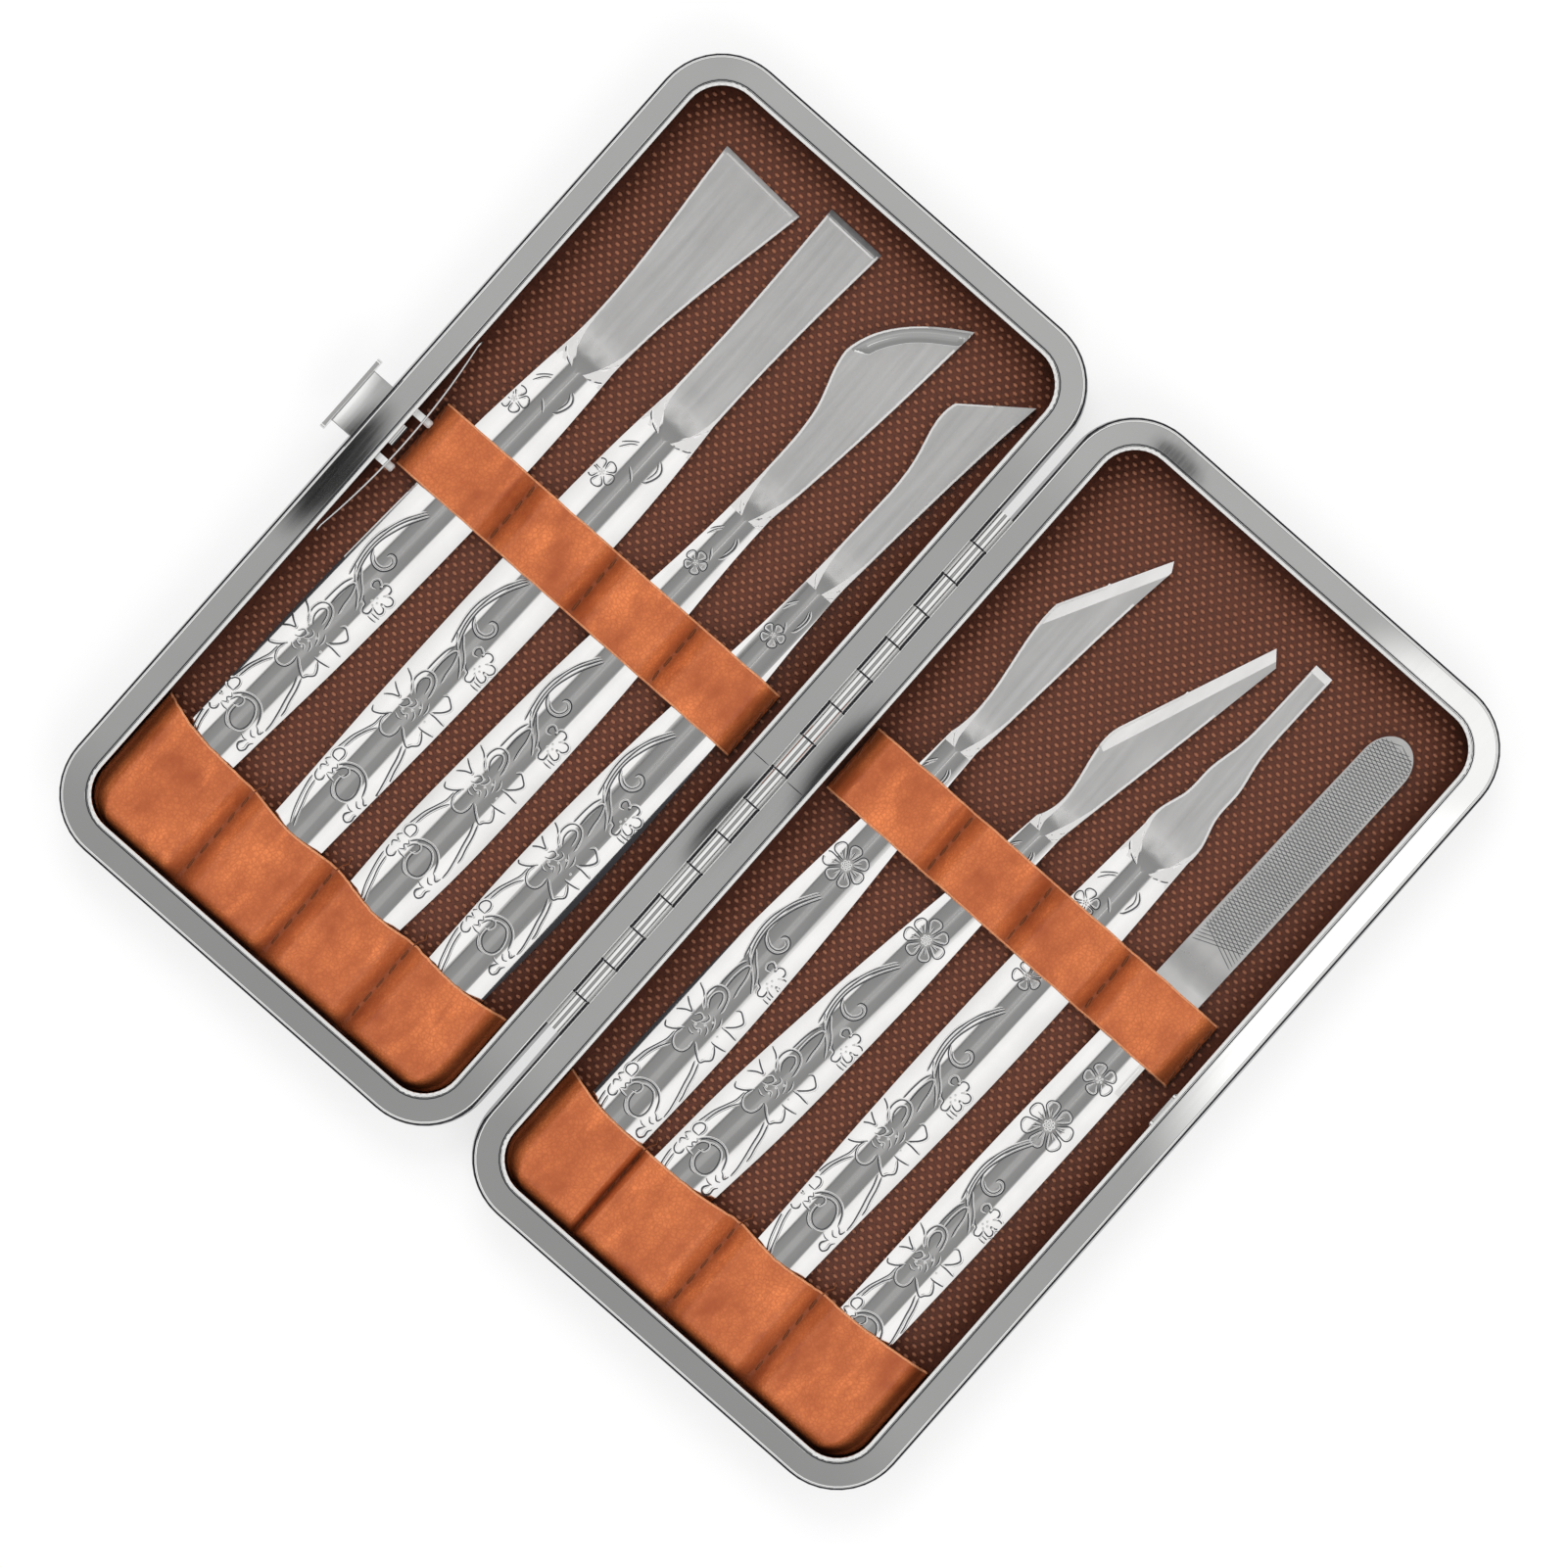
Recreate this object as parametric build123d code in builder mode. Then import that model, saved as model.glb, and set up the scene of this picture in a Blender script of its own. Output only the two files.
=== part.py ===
from build123d import *
from math import atan, degrees, radians, tan
import os

# A pedicure set: eight one-piece steel foot tools in a two-half hinged case, lying open.
# Millimetres, +Z up. The case lies open on its two backs, the hinge runs along Y, the tool
# tips point to +Y. The origin is under the middle of the overall box.

# Case frame
frame_width = 81.3        # one half, across, at its flat top
frame_length = 157.8      # one half, along the hinge
frame_corner = 11.0       # outer corner radius of the flat top
frame_round = 0.4         # its outer edge
rim_height = 9.4          # the flat tops above the table
rim_width = 4.65          # flat top and bead together
sheet = 0.5               # frame metal
wall_straight = 1.0       # upper part of the outer wall, before it flares
flare_angle = 9.0         # outer wall below that, outward, degrees
skirt_low_middle = 3.0    # lower edge of the outer wall halfway along
skirt_low_end = 5.4       # the same at the two ends
bead_width = 0.7          # rolled inner edge
groove_width = 0.35       # fine groove between the flat top and the bead
groove_depth = 0.32
bead_round = 0.3

# Leather cover, padding, board and lining, in layers from the table up
cover_thickness = 1.0
cover_round = 2.3
cover_top = 6.2           # where its edge ends inside the frame
cover_fit = 0.1           # cover to frame wall, and layer to cover, all round
padding_thickness = 1.4
board_thickness = 1.0
lining_thickness = 0.6

# Hinge
hinge_gap = 1.4           # hinge axis to the edge of either flat top
axis_above_rim = 0.1      # leaves a gap between the closed flat tops
knuckle_count = 16
knuckle_pitch = 6.54
knuckle_clearance = 0.3   # between neighbouring knuckles
knuckle_radius = 1.2
pin_radius = 0.6
pin_fit = 0.05            # radial
pin_inset = 0.2
leaf_thickness = 0.4
leaf_reach = 3.4          # leaf under the flat top, from its edge inward
window_fit = 0.1          # window for a knuckle, each side

# Tools, seams and pocket edges are placed by their distance from the hinge axis in a tray of
# this width and length, and keep their share of the tray where it is wider or narrower
drawn_width = 72.0
drawn_length = 148.5

# Leather pockets and bands
leather = 1.1
arch_rise = 3.2           # inside of an arch above the lining
arch_round = 2.3          # its shoulders
arch_crown = 0.35         # rise of its top between the shoulders
seam_land = 0.9           # sewn flat between two arches, underneath
outer_land = 0.25         # the same on top
leather_gap = 0.15        # pocket and band ends to the frame
pocket_end_wall = 1.6
pocket_round = 3.0        # where the pocket comes down at the closed end
band_width = 12.2
left_band_y = 2.7         # middle of each band
right_band_y = 9.0
left_pocket_seams = (58.3, 41.0, 24.5)     # from the hinge axis
right_pocket_seams = (22.7, 41.1, 57.7)
left_band_seams = (74.9, 56.9, 40.2, 24.0, 8.0)
right_band_seams = (7.3, 26.8, 43.0, 58.8, 75.7)
band_end_tab = 0.6        # flat end beyond the outermost seams
left_pocket_edge = (      # upper edge: distance from the hinge axis, and Y
    (77.9, -52.4), (70.0, -54.4), (58.3, -55.2), (50.0, -56.3), (41.0, -55.8),
    (32.0, -57.2), (24.5, -56.7), (15.0, -57.2), (6.0, -56.0))
right_pocket_edge = (
    (6.0, -54.9), (14.0, -56.6), (24.0, -56.8), (33.0, -56.6), (41.1, -55.6),
    (49.0, -56.2), (57.7, -55.4), (66.0, -55.2), (77.9, -54.0))

# Latch: a thumb slider through the left frame, pulled in by a bowed leaf spring
stem_width = 10.0
stem_thickness = 0.6
stem_below_rim = 2.35     # middle of the stem below the flat top
slider_fit = 0.1
tab_reach = 4.9           # lip's outer face beyond the edge of the flat top
lip_length = 13.6
lip_thickness = 0.7
lip_height = 3.6
lip_above_stem = 2.2
prong_spacing = 8.8
prong_width = 1.2
nose_width = 3.6
nose_reach = 0.75         # latch nose past the inner wall
spring_length = 38.4
spring_bow = 1.6
spring_thickness = 0.3
spring_height = 2.2
spring_seat = 0.15        # spring ends to the inner wall
stud_radius = 0.65
stud_length = 1.1
catch_width = 6.4
catch_thickness = 0.4
catch_above_window = 0.9
catch_window_fit = 0.3
catch_foot = 3.0          # how far it runs down the inner wall
catch_fit = 0.12          # closed catch to the left inner wall

# Tools
tool_lift = 0.3           # tools above the lining
handle_thickness = 2.4
crown_radius = 10.5       # rounded top of a handle
blade_thickness = 1.2
ramp_length = 9.0         # where the crown is ground down to the blade
tip_thickness = 0.95
butt_gap = 0.4            # tool butts to the closed end of their pocket
butt_round = 3.0
end_bevel = (0.7, 1.1)    # depth, width
knife_bevel = (0.7, 2.4)
file_tip = 66.8
file_half = 4.0           # half the file's width
file_nose = 5.0           # length of its rounded end
tip_spare = 0.2           # the ground profile runs on past the tip

# Worked out from the above
opening_width = frame_width - 2 * rim_width
opening_length = frame_length - 2 * rim_width
opening_corner = frame_corner - rim_width
flare = (rim_height - wall_straight - skirt_low_middle) * tan(radians(flare_angle))
left_reach = hinge_gap + frame_width + tab_reach
right_reach = hinge_gap + frame_width + flare
hinge_x = (left_reach - right_reach) / 2
axis_z = rim_height + axis_above_rim
board_bottom = cover_thickness + padding_thickness
lining_bottom = board_bottom + board_thickness
lining_top = lining_bottom + lining_thickness
cavity_width = frame_width - 2 * (sheet + cover_fit + cover_thickness)
cavity_length = frame_length - 2 * (sheet + cover_fit + cover_thickness)
cavity_corner = frame_corner - sheet - cover_fit - cover_thickness
hinge_length = knuckle_count * knuckle_pitch
inner_wall = opening_width + hinge_gap + rim_width    # far inner wall's face, from the hinge axis
stem_z = rim_height - stem_below_rim
tool_z = lining_top + tool_lift
butt_y = pocket_end_wall + butt_gap - opening_length / 2
tray_near = hinge_gap + rim_width          # near side of a tray, from the hinge axis
near = 0.01               # reach within which an edge counts as lying on a line

os.makedirs("parts", exist_ok=True)


def save(piece, name):
    piece.part.label = name
    export_step(piece.part, f"parts/{name}.step")


def middle(side):
    """X of the middle of one half: side is -1 on the left and 1 on the right."""
    return hinge_x + side * (hinge_gap + frame_width / 2)


def spread(distance):
    """Distance from the hinge axis in this tray, for one given in a tray of the drawn width."""
    return tray_near + (distance - tray_near) * opening_width / drawn_width


def knuckle_ys(side):
    """Middles of the knuckles of one half: the right half has the first, at +Y, and every other."""
    first = 0 if side > 0 else 1
    return [hinge_length / 2 - knuckle_pitch * (i + 0.5) for i in range(first, knuckle_count, 2)]


def quarter_arc(start, corner, end):
    """Quarter circle from start to end, rounding a square corner."""
    pull = 1 - 0.5 ** 0.5
    mid = tuple(c + pull * (s - c + e - c) for s, c, e in zip(start, corner, end))
    ThreePointArc(start, mid, end)


def plate(z, width, length, corner, side):
    """Rounded rectangle centred on one half, as a sketch at height z."""
    with BuildSketch(Plane.XY.offset(z)) as shape:
        with Locations((middle(side), 0)):
            RectangleRounded(width, length, corner)
    return shape


def make_frame(side):
    """Pressed channel: flat top, flaring outer wall, inner wall down to the lining, bead."""
    top_low = rim_height - wall_straight
    deep = top_low - skirt_low_middle
    foot = rim_height - sheet
    with BuildPart() as frame:
        add(plate(top_low, frame_width, frame_length, frame_corner, side).sketch)
        extrude(amount=wall_straight)
        add(plate(top_low, frame_width, frame_length, frame_corner, side).sketch)
        extrude(amount=-deep, taper=-flare_angle)
        inside = (frame_width - 2 * sheet, frame_length - 2 * sheet, frame_corner - sheet)
        add(plate(top_low, *inside, side).sketch)
        extrude(amount=wall_straight - sheet, mode=Mode.SUBTRACT)
        add(plate(top_low, *inside, side).sketch)
        extrude(amount=-deep, taper=-flare_angle, mode=Mode.SUBTRACT)
        # Inner wall, standing on the lining
        with BuildSketch(Plane.XY.offset(lining_top)):
            with Locations((middle(side), 0)):
                RectangleRounded(opening_width + 2 * sheet, opening_length + 2 * sheet,
                                 opening_corner + sheet)
                RectangleRounded(opening_width, opening_length, opening_corner, mode=Mode.SUBTRACT)
        extrude(amount=foot - lining_top)
        add(plate(foot, opening_width, opening_length, opening_corner, side).sketch)
        extrude(amount=sheet, mode=Mode.SUBTRACT)
        # Bead and groove
        with BuildSketch(Plane.XY.offset(rim_height)):
            with Locations((middle(side), 0)):
                out = 2 * (bead_width + groove_width)
                RectangleRounded(opening_width + out, opening_length + out, opening_corner + out / 2)
                RectangleRounded(opening_width + 2 * bead_width, opening_length + 2 * bead_width,
                                 opening_corner + bead_width, mode=Mode.SUBTRACT)
        extrude(amount=-groove_depth, mode=Mode.SUBTRACT)
        rim_edges = frame.edges().filter_by_position(Axis.Z, rim_height - near, rim_height + near)
        fillet([edge for edge in rim_edges if on_bead(edge, side)], bead_round)
        fillet([edge for edge in rim_edges if on_outline(edge, side)], frame_round)
        # Arched lower edge of the outer wall
        reach = frame_length / 2 + 2 * sheet + flare
        with BuildSketch(Plane.YZ.offset(middle(side))):
            with BuildLine():
                ThreePointArc((-reach, skirt_low_end), (0, skirt_low_middle), (reach, skirt_low_end))
                Polyline((reach, skirt_low_end), (reach, 0), (-reach, 0), (-reach, skirt_low_end))
            make_face()
        extrude(amount=frame_width, both=True, mode=Mode.SUBTRACT)
        # Windows for the knuckles of this half
        span = knuckle_pitch - knuckle_clearance + 2 * window_fit
        edge_x = hinge_x + side * (hinge_gap + sheet / 2)
        with Locations([(edge_x, y, rim_height - sheet - leaf_thickness / 2) for y in knuckle_ys(side)]):
            Box(2 * sheet, span, leaf_thickness, mode=Mode.SUBTRACT)
        if side < 0:
            cut_latch_slots()
    return frame


def on_bead(edge, side):
    """Whether an edge of the top lies on either outline of the bead."""
    box = edge.bounding_box()
    across = max(abs(box.min.X - middle(side)), abs(box.max.X - middle(side)))
    along = max(abs(box.min.Y), abs(box.max.Y))
    reach = bead_width + near
    return across <= opening_width / 2 + reach and along <= opening_length / 2 + reach


def on_outline(edge, side):
    """Whether an edge of the top lies on the outer outline of one half."""
    centre = edge.center()
    across = abs(centre.X - middle(side))
    return across > frame_width / 2 - rim_width / 2 or abs(centre.Y) > (frame_length - rim_width) / 2


def cut_latch_slots():
    """Slot in the left outer wall for the stem, and three in the inner wall."""
    high = stem_thickness + 2 * slider_fit
    with Locations((hinge_x - hinge_gap - frame_width, 0, stem_z)):
        Box(4 * sheet + 2 * flare, stem_width + 2 * slider_fit, high, mode=Mode.SUBTRACT)
    wall_x = hinge_x - inner_wall - sheet / 2
    with Locations((wall_x, 0, stem_z)):
        Box(3 * sheet, nose_width + 2 * slider_fit, high, mode=Mode.SUBTRACT)
    with Locations([(wall_x, y, stem_z) for y in (-prong_spacing / 2, prong_spacing / 2)]):
        Box(3 * sheet, prong_width + 2 * slider_fit, high, mode=Mode.SUBTRACT)


def make_cover(side):
    """Leather outside: a shallow tray with rounded lower edges, tucked into the frame."""
    wide = cavity_width + 2 * cover_thickness
    long = cavity_length + 2 * cover_thickness
    with BuildPart() as cover:
        add(plate(0, wide, long, cavity_corner + cover_thickness, side).sketch)
        extrude(amount=cover_top)
        fillet(cover.faces().sort_by(Axis.Z)[0].edges(), cover_round)
        add(plate(cover_thickness, cavity_width, cavity_length, cavity_corner, side).sketch)
        hollow = extrude(amount=cover_top, mode=Mode.PRIVATE)
        floor = hollow.faces().sort_by(Axis.Z)[0]
        inner = cover_round - cover_thickness
        add(hollow.chamfer(inner, None, floor.edges()), mode=Mode.SUBTRACT)
    return cover


def make_layer(side, z, thickness, rounded=False):
    """One flat layer inside the cover."""
    with BuildPart() as layer:
        add(plate(z, cavity_width - 2 * cover_fit, cavity_length - 2 * cover_fit,
                  cavity_corner - cover_fit, side).sketch)
        extrude(amount=thickness)
        if rounded:
            chamfer(layer.faces().sort_by(Axis.Z)[0].edges(), cover_round - cover_thickness)
    return layer


def arch_curve(a, b, z):
    """Leather arch from a to b: upright sides, round shoulders and a slightly crowned top."""
    shoulder = z + arch_rise - arch_crown
    side = shoulder - arch_round
    Line((a, z), (a, side))
    quarter_arc((a, side), (a, shoulder), (a + arch_round, shoulder))
    ThreePointArc((a + arch_round, shoulder), ((a + b) / 2, z + arch_rise), (b - arch_round, shoulder))
    quarter_arc((b - arch_round, shoulder), (b, shoulder), (b, side))
    Line((b, side), (b, z))


def arch_faces(seams, inner, z):
    """Faces under the arches between seams: all in one with lands, or one for each arch."""
    half = seam_land / 2
    land = half if inner else outer_land / 2
    arches = [(a + land, b - land) for a, b in zip(seams, seams[1:])]
    if inner:
        for a, b in arches:
            with BuildLine() as arch:
                arch_curve(a, b, z)
                Line((b, z), (a, z))
            make_face(arch.edges())
        return
    with BuildLine() as whole:
        high = z + leather
        for a, b in arches:
            arch_curve(a, b, high)
        for (_, b), (a, _) in zip(arches, arches[1:]):
            Line((b, high), (a, high))
        Polyline((arches[-1][1], high), (seams[-1] + half, high), (seams[-1] + half, z),
                 (seams[0] - half, z), (seams[0] - half, high), (arches[0][0], high))
    make_face(whole.edges())


def row_xs(distances, side):
    """Drawn distances from the hinge axis as X, lowest first."""
    return sorted(hinge_x + side * spread(d) for d in distances)


def make_pocket(side, seams, edge):
    """Leather pocket with four cells, closed at the -Y end, its top edge slightly scalloped."""
    end = opening_length / 2 - leather_gap
    first = tray_near + leather_gap + seam_land / 2
    last = inner_wall - leather_gap - seam_land / 2
    xs = sorted(row_xs(seams, side) + [hinge_x + side * d for d in (first, last)])
    edge_shift = drawn_length / 2 - opening_length / 2
    top = max(y for _, y in edge) + edge_shift + 1
    with BuildPart() as pocket:
        with BuildSketch(Plane.XZ.offset(-top)):
            arch_faces(xs, False, lining_top)
        extrude(amount=end + top)
        with BuildSketch(Plane.XZ.offset(-top)):
            arch_faces(xs, True, lining_top)
        extrude(amount=opening_length / 2 - pocket_end_wall + top, mode=Mode.SUBTRACT)
        # Outline from above: scalloped edge, and the rounded corners of the tray
        line = sorted((hinge_x + side * spread(d), y + edge_shift) for d, y in edge)
        with BuildSketch(Plane.XY.offset(lining_top)):
            with BuildLine():
                Spline(*line)
                Polyline(line[-1], (line[-1][0], -end), (line[0][0], -end), line[0])
            make_face()
            with Locations((middle(side), 0)):
                RectangleRounded(opening_width - 2 * leather_gap, opening_length - 2 * leather_gap,
                                 opening_corner - leather_gap, mode=Mode.INTERSECT)
        extrude(amount=rim_height, mode=Mode.INTERSECT)
        # Rounded down at the closed end
        high = lining_top + leather + arch_rise
        with BuildSketch(Plane.YZ.offset(middle(side))):
            with BuildLine():
                quarter_arc((-end, high - pocket_round), (-end, high), (-end + pocket_round, high))
                Polyline((-end + pocket_round, high), (0, high), (0, lining_top), (-end, lining_top),
                         (-end, high - pocket_round))
            make_face()
        extrude(amount=frame_width, both=True, mode=Mode.INTERSECT)
    return pocket


def make_band(side, seams, y):
    """Leather band sewn down between the tools, arched over each."""
    xs = row_xs(seams, side)
    half = seam_land / 2
    with BuildPart() as band:
        with BuildSketch(Plane.XZ.offset(-y - band_width / 2)):
            arch_faces(xs, False, lining_top)
            tabs = ((xs[0] - half - band_end_tab / 2, lining_top + leather / 2),
                    (xs[-1] + half + band_end_tab / 2, lining_top + leather / 2))
            with Locations(*tabs):
                Rectangle(band_end_tab, leather)
        extrude(amount=band_width)
        with BuildSketch(Plane.XZ.offset(-y - band_width / 2)):
            arch_faces(xs, True, lining_top)
        extrude(amount=band_width, mode=Mode.SUBTRACT)
    return band


def make_hinge_leaf(side):
    """Leaf welded under the flat top, with its eight rolled knuckles."""
    long = knuckle_pitch - knuckle_clearance
    edge = hinge_x + side * hinge_gap
    leaf_z = rim_height - sheet - leaf_thickness / 2
    with BuildPart() as leaf:
        with Locations((edge + side * (2 * sheet + leaf_reach) / 2, 0, leaf_z)):
            Box(leaf_reach, hinge_length, leaf_thickness)
        for y in knuckle_ys(side):
            # Tongue through the window, and the lip from the flat top's edge to the barrel
            root = hinge_gap + 2 * sheet
            with Locations((hinge_x + side * (knuckle_radius + root) / 2, y, leaf_z)):
                Box(root - knuckle_radius, long, leaf_thickness)
            with Locations((edge - side * hinge_gap / 4, y, rim_height - sheet / 2)):
                Box(hinge_gap / 2, long, sheet)
            with Locations(Location((hinge_x, y, axis_z), (90, 0, 0))):
                Cylinder(knuckle_radius, long)
                Cylinder(pin_radius + pin_fit, long, mode=Mode.SUBTRACT)
    return leaf


def make_hinge_pin():
    with BuildPart() as pin:
        with Locations(Location((hinge_x, 0, axis_z), (90, 0, 0))):
            Cylinder(pin_radius, hinge_length - 2 * pin_inset)
        chamfer(pin.edges(), pin_radius / 4)
    return pin


def make_latch_slider():
    """Thumb tab with its lip, stem, latch nose and two prongs to the spring."""
    outer = hinge_x - hinge_gap - frame_width - tab_reach
    wall_x = hinge_x - inner_wall
    stem_end = wall_x - 2 * sheet - 2 * slider_fit
    lip_z = stem_z + lip_above_stem - (lip_height - lip_thickness) / 2
    with BuildPart() as slider:
        with Locations((outer + lip_thickness / 2, 0, lip_z)):
            Box(lip_thickness, lip_length, lip_height)
        fillet(slider.edges().filter_by(Axis.X), lip_thickness)
        with Locations(((outer + stem_end) / 2, 0, stem_z)):
            Box(stem_end - outer, stem_width, stem_thickness)
        with BuildSketch(Plane.XZ.offset(nose_width / 2)):
            with BuildLine():
                low = stem_z - stem_thickness / 2
                high = stem_z + stem_thickness / 2
                nose = wall_x + nose_reach
                Polyline((stem_end, low), (nose, low), (nose, low + stem_thickness / 3),
                         (wall_x + nose_reach / 4, high), (stem_end, high), close=True)
            make_face()
        extrude(amount=-nose_width)
        prong_end = wall_x + spring_seat + spring_bow + spring_thickness
        prong_x = (stem_end + prong_end) / 2
        with Locations([(prong_x, y, stem_z) for y in (-prong_spacing / 2, prong_spacing / 2)]):
            Box(prong_end - stem_end, prong_width, stem_thickness)
    return slider


def make_latch_studs():
    """Round rivet heads on the prongs' ends, inside the spring."""
    start = hinge_x - inner_wall + spring_seat + spring_bow + spring_thickness
    with BuildPart() as studs:
        for y in (-prong_spacing / 2, prong_spacing / 2):
            with Locations(Location((start + stud_length / 2, y, stem_z), (0, 90, 0))):
                Cylinder(stud_radius, stud_length)
        chamfer(studs.edges().group_by(Axis.X)[-1], stud_radius / 3)
    return studs


def make_latch_spring():
    """Bowed leaf with two slots for the prongs; its ends bear on the inner wall."""
    ends_x = hinge_x - inner_wall + spring_seat
    half = spring_length / 2
    with BuildPart() as spring:
        with BuildSketch(Plane.XY.offset(stem_z - spring_height / 2)):
            with BuildLine():
                ThreePointArc((ends_x, -half), (ends_x + spring_bow, 0), (ends_x, half))
                Line((ends_x, half), (ends_x + spring_thickness, half))
                ThreePointArc((ends_x + spring_thickness, half),
                              (ends_x + spring_bow + spring_thickness, 0),
                              (ends_x + spring_thickness, -half))
                Line((ends_x + spring_thickness, -half), (ends_x, -half))
            make_face()
        extrude(amount=spring_height)
        bow_x = ends_x + spring_bow
        with Locations([(bow_x, y, stem_z) for y in (-prong_spacing / 2, prong_spacing / 2)]):
            Box(4 * spring_thickness, prong_width + 2 * slider_fit, stem_thickness + 2 * slider_fit,
                mode=Mode.SUBTRACT)
    return spring


def make_catch_plate():
    """Upright plate inside the right frame, with the window that the nose springs into."""
    face = hinge_x + inner_wall
    window_z = 2 * axis_z - stem_z
    window_high = stem_thickness + 2 * catch_window_fit
    top = window_z + window_high / 2 + catch_above_window
    low = rim_height - catch_foot
    with BuildPart() as catch:
        with BuildSketch(Plane.YZ.offset(face - catch_fit - catch_thickness)):
            with Locations((0, (top + low) / 2)):
                RectangleRounded(catch_width, top - low, catch_above_window)
            with Locations((0, window_z)):
                Rectangle(nose_width + 2 * catch_window_fit, window_high, mode=Mode.SUBTRACT)
        extrude(amount=catch_thickness)
    return catch


def square_end(width, end):
    """Straight cutting end across the blade."""
    Line((width, end), (-width, end))


def wide_scraper_blade(half, neck):
    side = [(half, neck), (4.7, 42), (5.6, 50), (7.75, 66.2)]
    mirrored_sides(side)
    square_end(*side[-1])


def narrow_chisel_blade(half, neck):
    side = [(half, neck), (4.15, 41), (4.35, 52), (5.2, 69.7)]
    mirrored_sides(side)
    square_end(*side[-1])


def waisted_chisel_blade(half, neck):
    side = [(half, neck), (4.1, 35.6), (3.2, 38.6), (3.0, 44), (2.1, 48.8), (1.7, 54), (1.65, 66.5)]
    mirrored_sides(side)
    square_end(*side[-1])


def belly_knife_blade(half, neck):
    Spline((half, neck), (3.9, 38), (4.9, 52), (5.7, 70.4))
    Spline((5.7, 70.4), (-0.2, 66.0), (-5.5, 59.2), (-6.7, 55.0))
    Spline((-6.7, 55.0), (-6.1, 51.8), (-4.2, 46.5), (-3.1, 39), (-half, neck))


def angled_knife_blade(half, neck):
    Spline((half, neck), (3.2, 42), (4.1, 57), (5.1, 67.8))
    Line((5.1, 67.8), (-4.5, 59.9))
    Spline((-4.5, 59.9), (-4.8, 58.6), (-3.3, 50), (-2.5, 38), (-half, neck))


def skew_knife_blade(half, neck):
    Spline((half, neck), (3.7, 37), (4.6, 50), (5.8, 62.6))
    Polyline((5.8, 62.6), (4.9, 64.2), (-3.9, 47.2))
    Spline((-3.9, 47.2), (-4.0, 45.0), (-3.1, 37), (-half, neck))


def long_skew_knife_blade(half, neck):
    Spline((half, neck), (4.3, 38), (5.7, 52), (6.7, 62.8))
    Polyline((6.7, 62.8), (4.6, 65.0), (-3.2, 40.2))
    Spline((-3.2, 40.2), (-3.75, 37.6), (-2.6, 31), (-half, neck))


def foot_file_blade(half, neck):
    shoulder = file_tip - file_nose
    Spline((half, neck), (4.25, 30), (file_half, shoulder))
    EllipticalCenterArc((0, shoulder), file_half, file_nose, start_angle=0, arc_size=180)
    Spline((-file_half, shoulder), (-4.25, 30), (-half, neck))


def mirrored_sides(side):
    """One side of a blade as a curve, and its mirror image."""
    Spline(*side)
    Spline(*[(-x, y) for x, y in side])


def make_tool(blade, across, lean, ramp, tip, handle, bevel=(0, 1), edge=None):
    """One-piece tool: flat outline, rounded handle top, ground down to a thin flat blade.

    across: its drawn axis from the hinge axis; lean: sideways run of the axis for each unit along it;
    ramp and tip: where the grinding starts and ends; handle: half widths from neck to butt;
    bevel: depth and width at a square end; edge: heel and point of a bevelled straight edge.
    """
    turn = -degrees(atan(lean))
    along = Vector(0, 1, 0).rotate(Axis.Z, turn)
    out = Vector(1, 0, 0).rotate(Axis.Z, turn)
    side = 1 if across > 0 else -1
    origin = Vector(hinge_x + side * spread(abs(across)), 0, tool_z)
    flat = Plane(origin, x_dir=out, z_dir=(0, 0, 1))
    butt = handle[-1][0]
    tail = butt_y + butt_round
    with BuildPart() as tool:
        with BuildSketch(flat):
            with BuildLine():
                blade(*handle[0])
                Spline(*handle, (butt, tail))
                quarter_arc((butt, tail), (butt, butt_y), (butt - butt_round, butt_y))
                Line((butt - butt_round, butt_y), (butt_round - butt, butt_y))
                quarter_arc((butt_round - butt, butt_y), (-butt, butt_y), (-butt, tail))
                Spline(*[(-x, y) for x, y in handle], (-butt, tail))
            make_face()
        extrude(amount=handle_thickness)
        # Rounded top, as far as the flat blade
        reach = 1.2 * max(x for x, _ in handle)
        start = origin + along * (ramp + ramp_length)
        drop = handle_thickness - crown_radius + (crown_radius ** 2 - reach ** 2) ** 0.5
        clear = 2 * handle_thickness
        with BuildSketch(Plane(start, x_dir=out, z_dir=-along)):
            with BuildLine():
                ThreePointArc((-reach, drop), (0, handle_thickness), (reach, drop))
                Polyline((reach, drop), (reach, clear), (-reach, clear), (-reach, drop))
            make_face()
        extrude(amount=2 * opening_length, mode=Mode.SUBTRACT)
        # Ground flat towards the tip, with the bevel of a square end
        depth, width = bevel
        end_z = tip_thickness - depth * (width + tip_spare) / width
        with BuildSketch(Plane(origin, x_dir=along, z_dir=out)):
            with BuildLine():
                Polyline((tip - width, tip_thickness), (tip + tip_spare, end_z), (tip + tip_spare, 0),
                         (2 * butt_y, 0), (2 * butt_y, handle_thickness), (ramp, handle_thickness))
                Spline((ramp, handle_thickness), (ramp + ramp_length, blade_thickness),
                       tangents=((1, 0), (1, 0)))
                Line((ramp + ramp_length, blade_thickness), (tip - width, tip_thickness))
            make_face()
        extrude(amount=opening_width, both=True, mode=Mode.INTERSECT)
        # Wide bevel along a straight cutting edge
        if edge:
            depth, width = knife_bevel
            heel, point = [flat.from_local_coords(Vector(*end)) for end in edge]
            run = point - heel
            inward = Vector(0, 0, -1).cross(run).normalized()
            with BuildSketch(Plane(heel - run.normalized() * 2 * width, x_dir=inward, z_dir=-run)):
                with BuildLine():
                    Polyline((width, blade_thickness), (0, tip_thickness - depth),
                             (-width, tip_thickness - 2 * depth), (-width, clear), (width, clear),
                             close=True)
                make_face()
            extrude(amount=-run.length - 3 * width, mode=Mode.SUBTRACT)
    return tool


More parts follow.
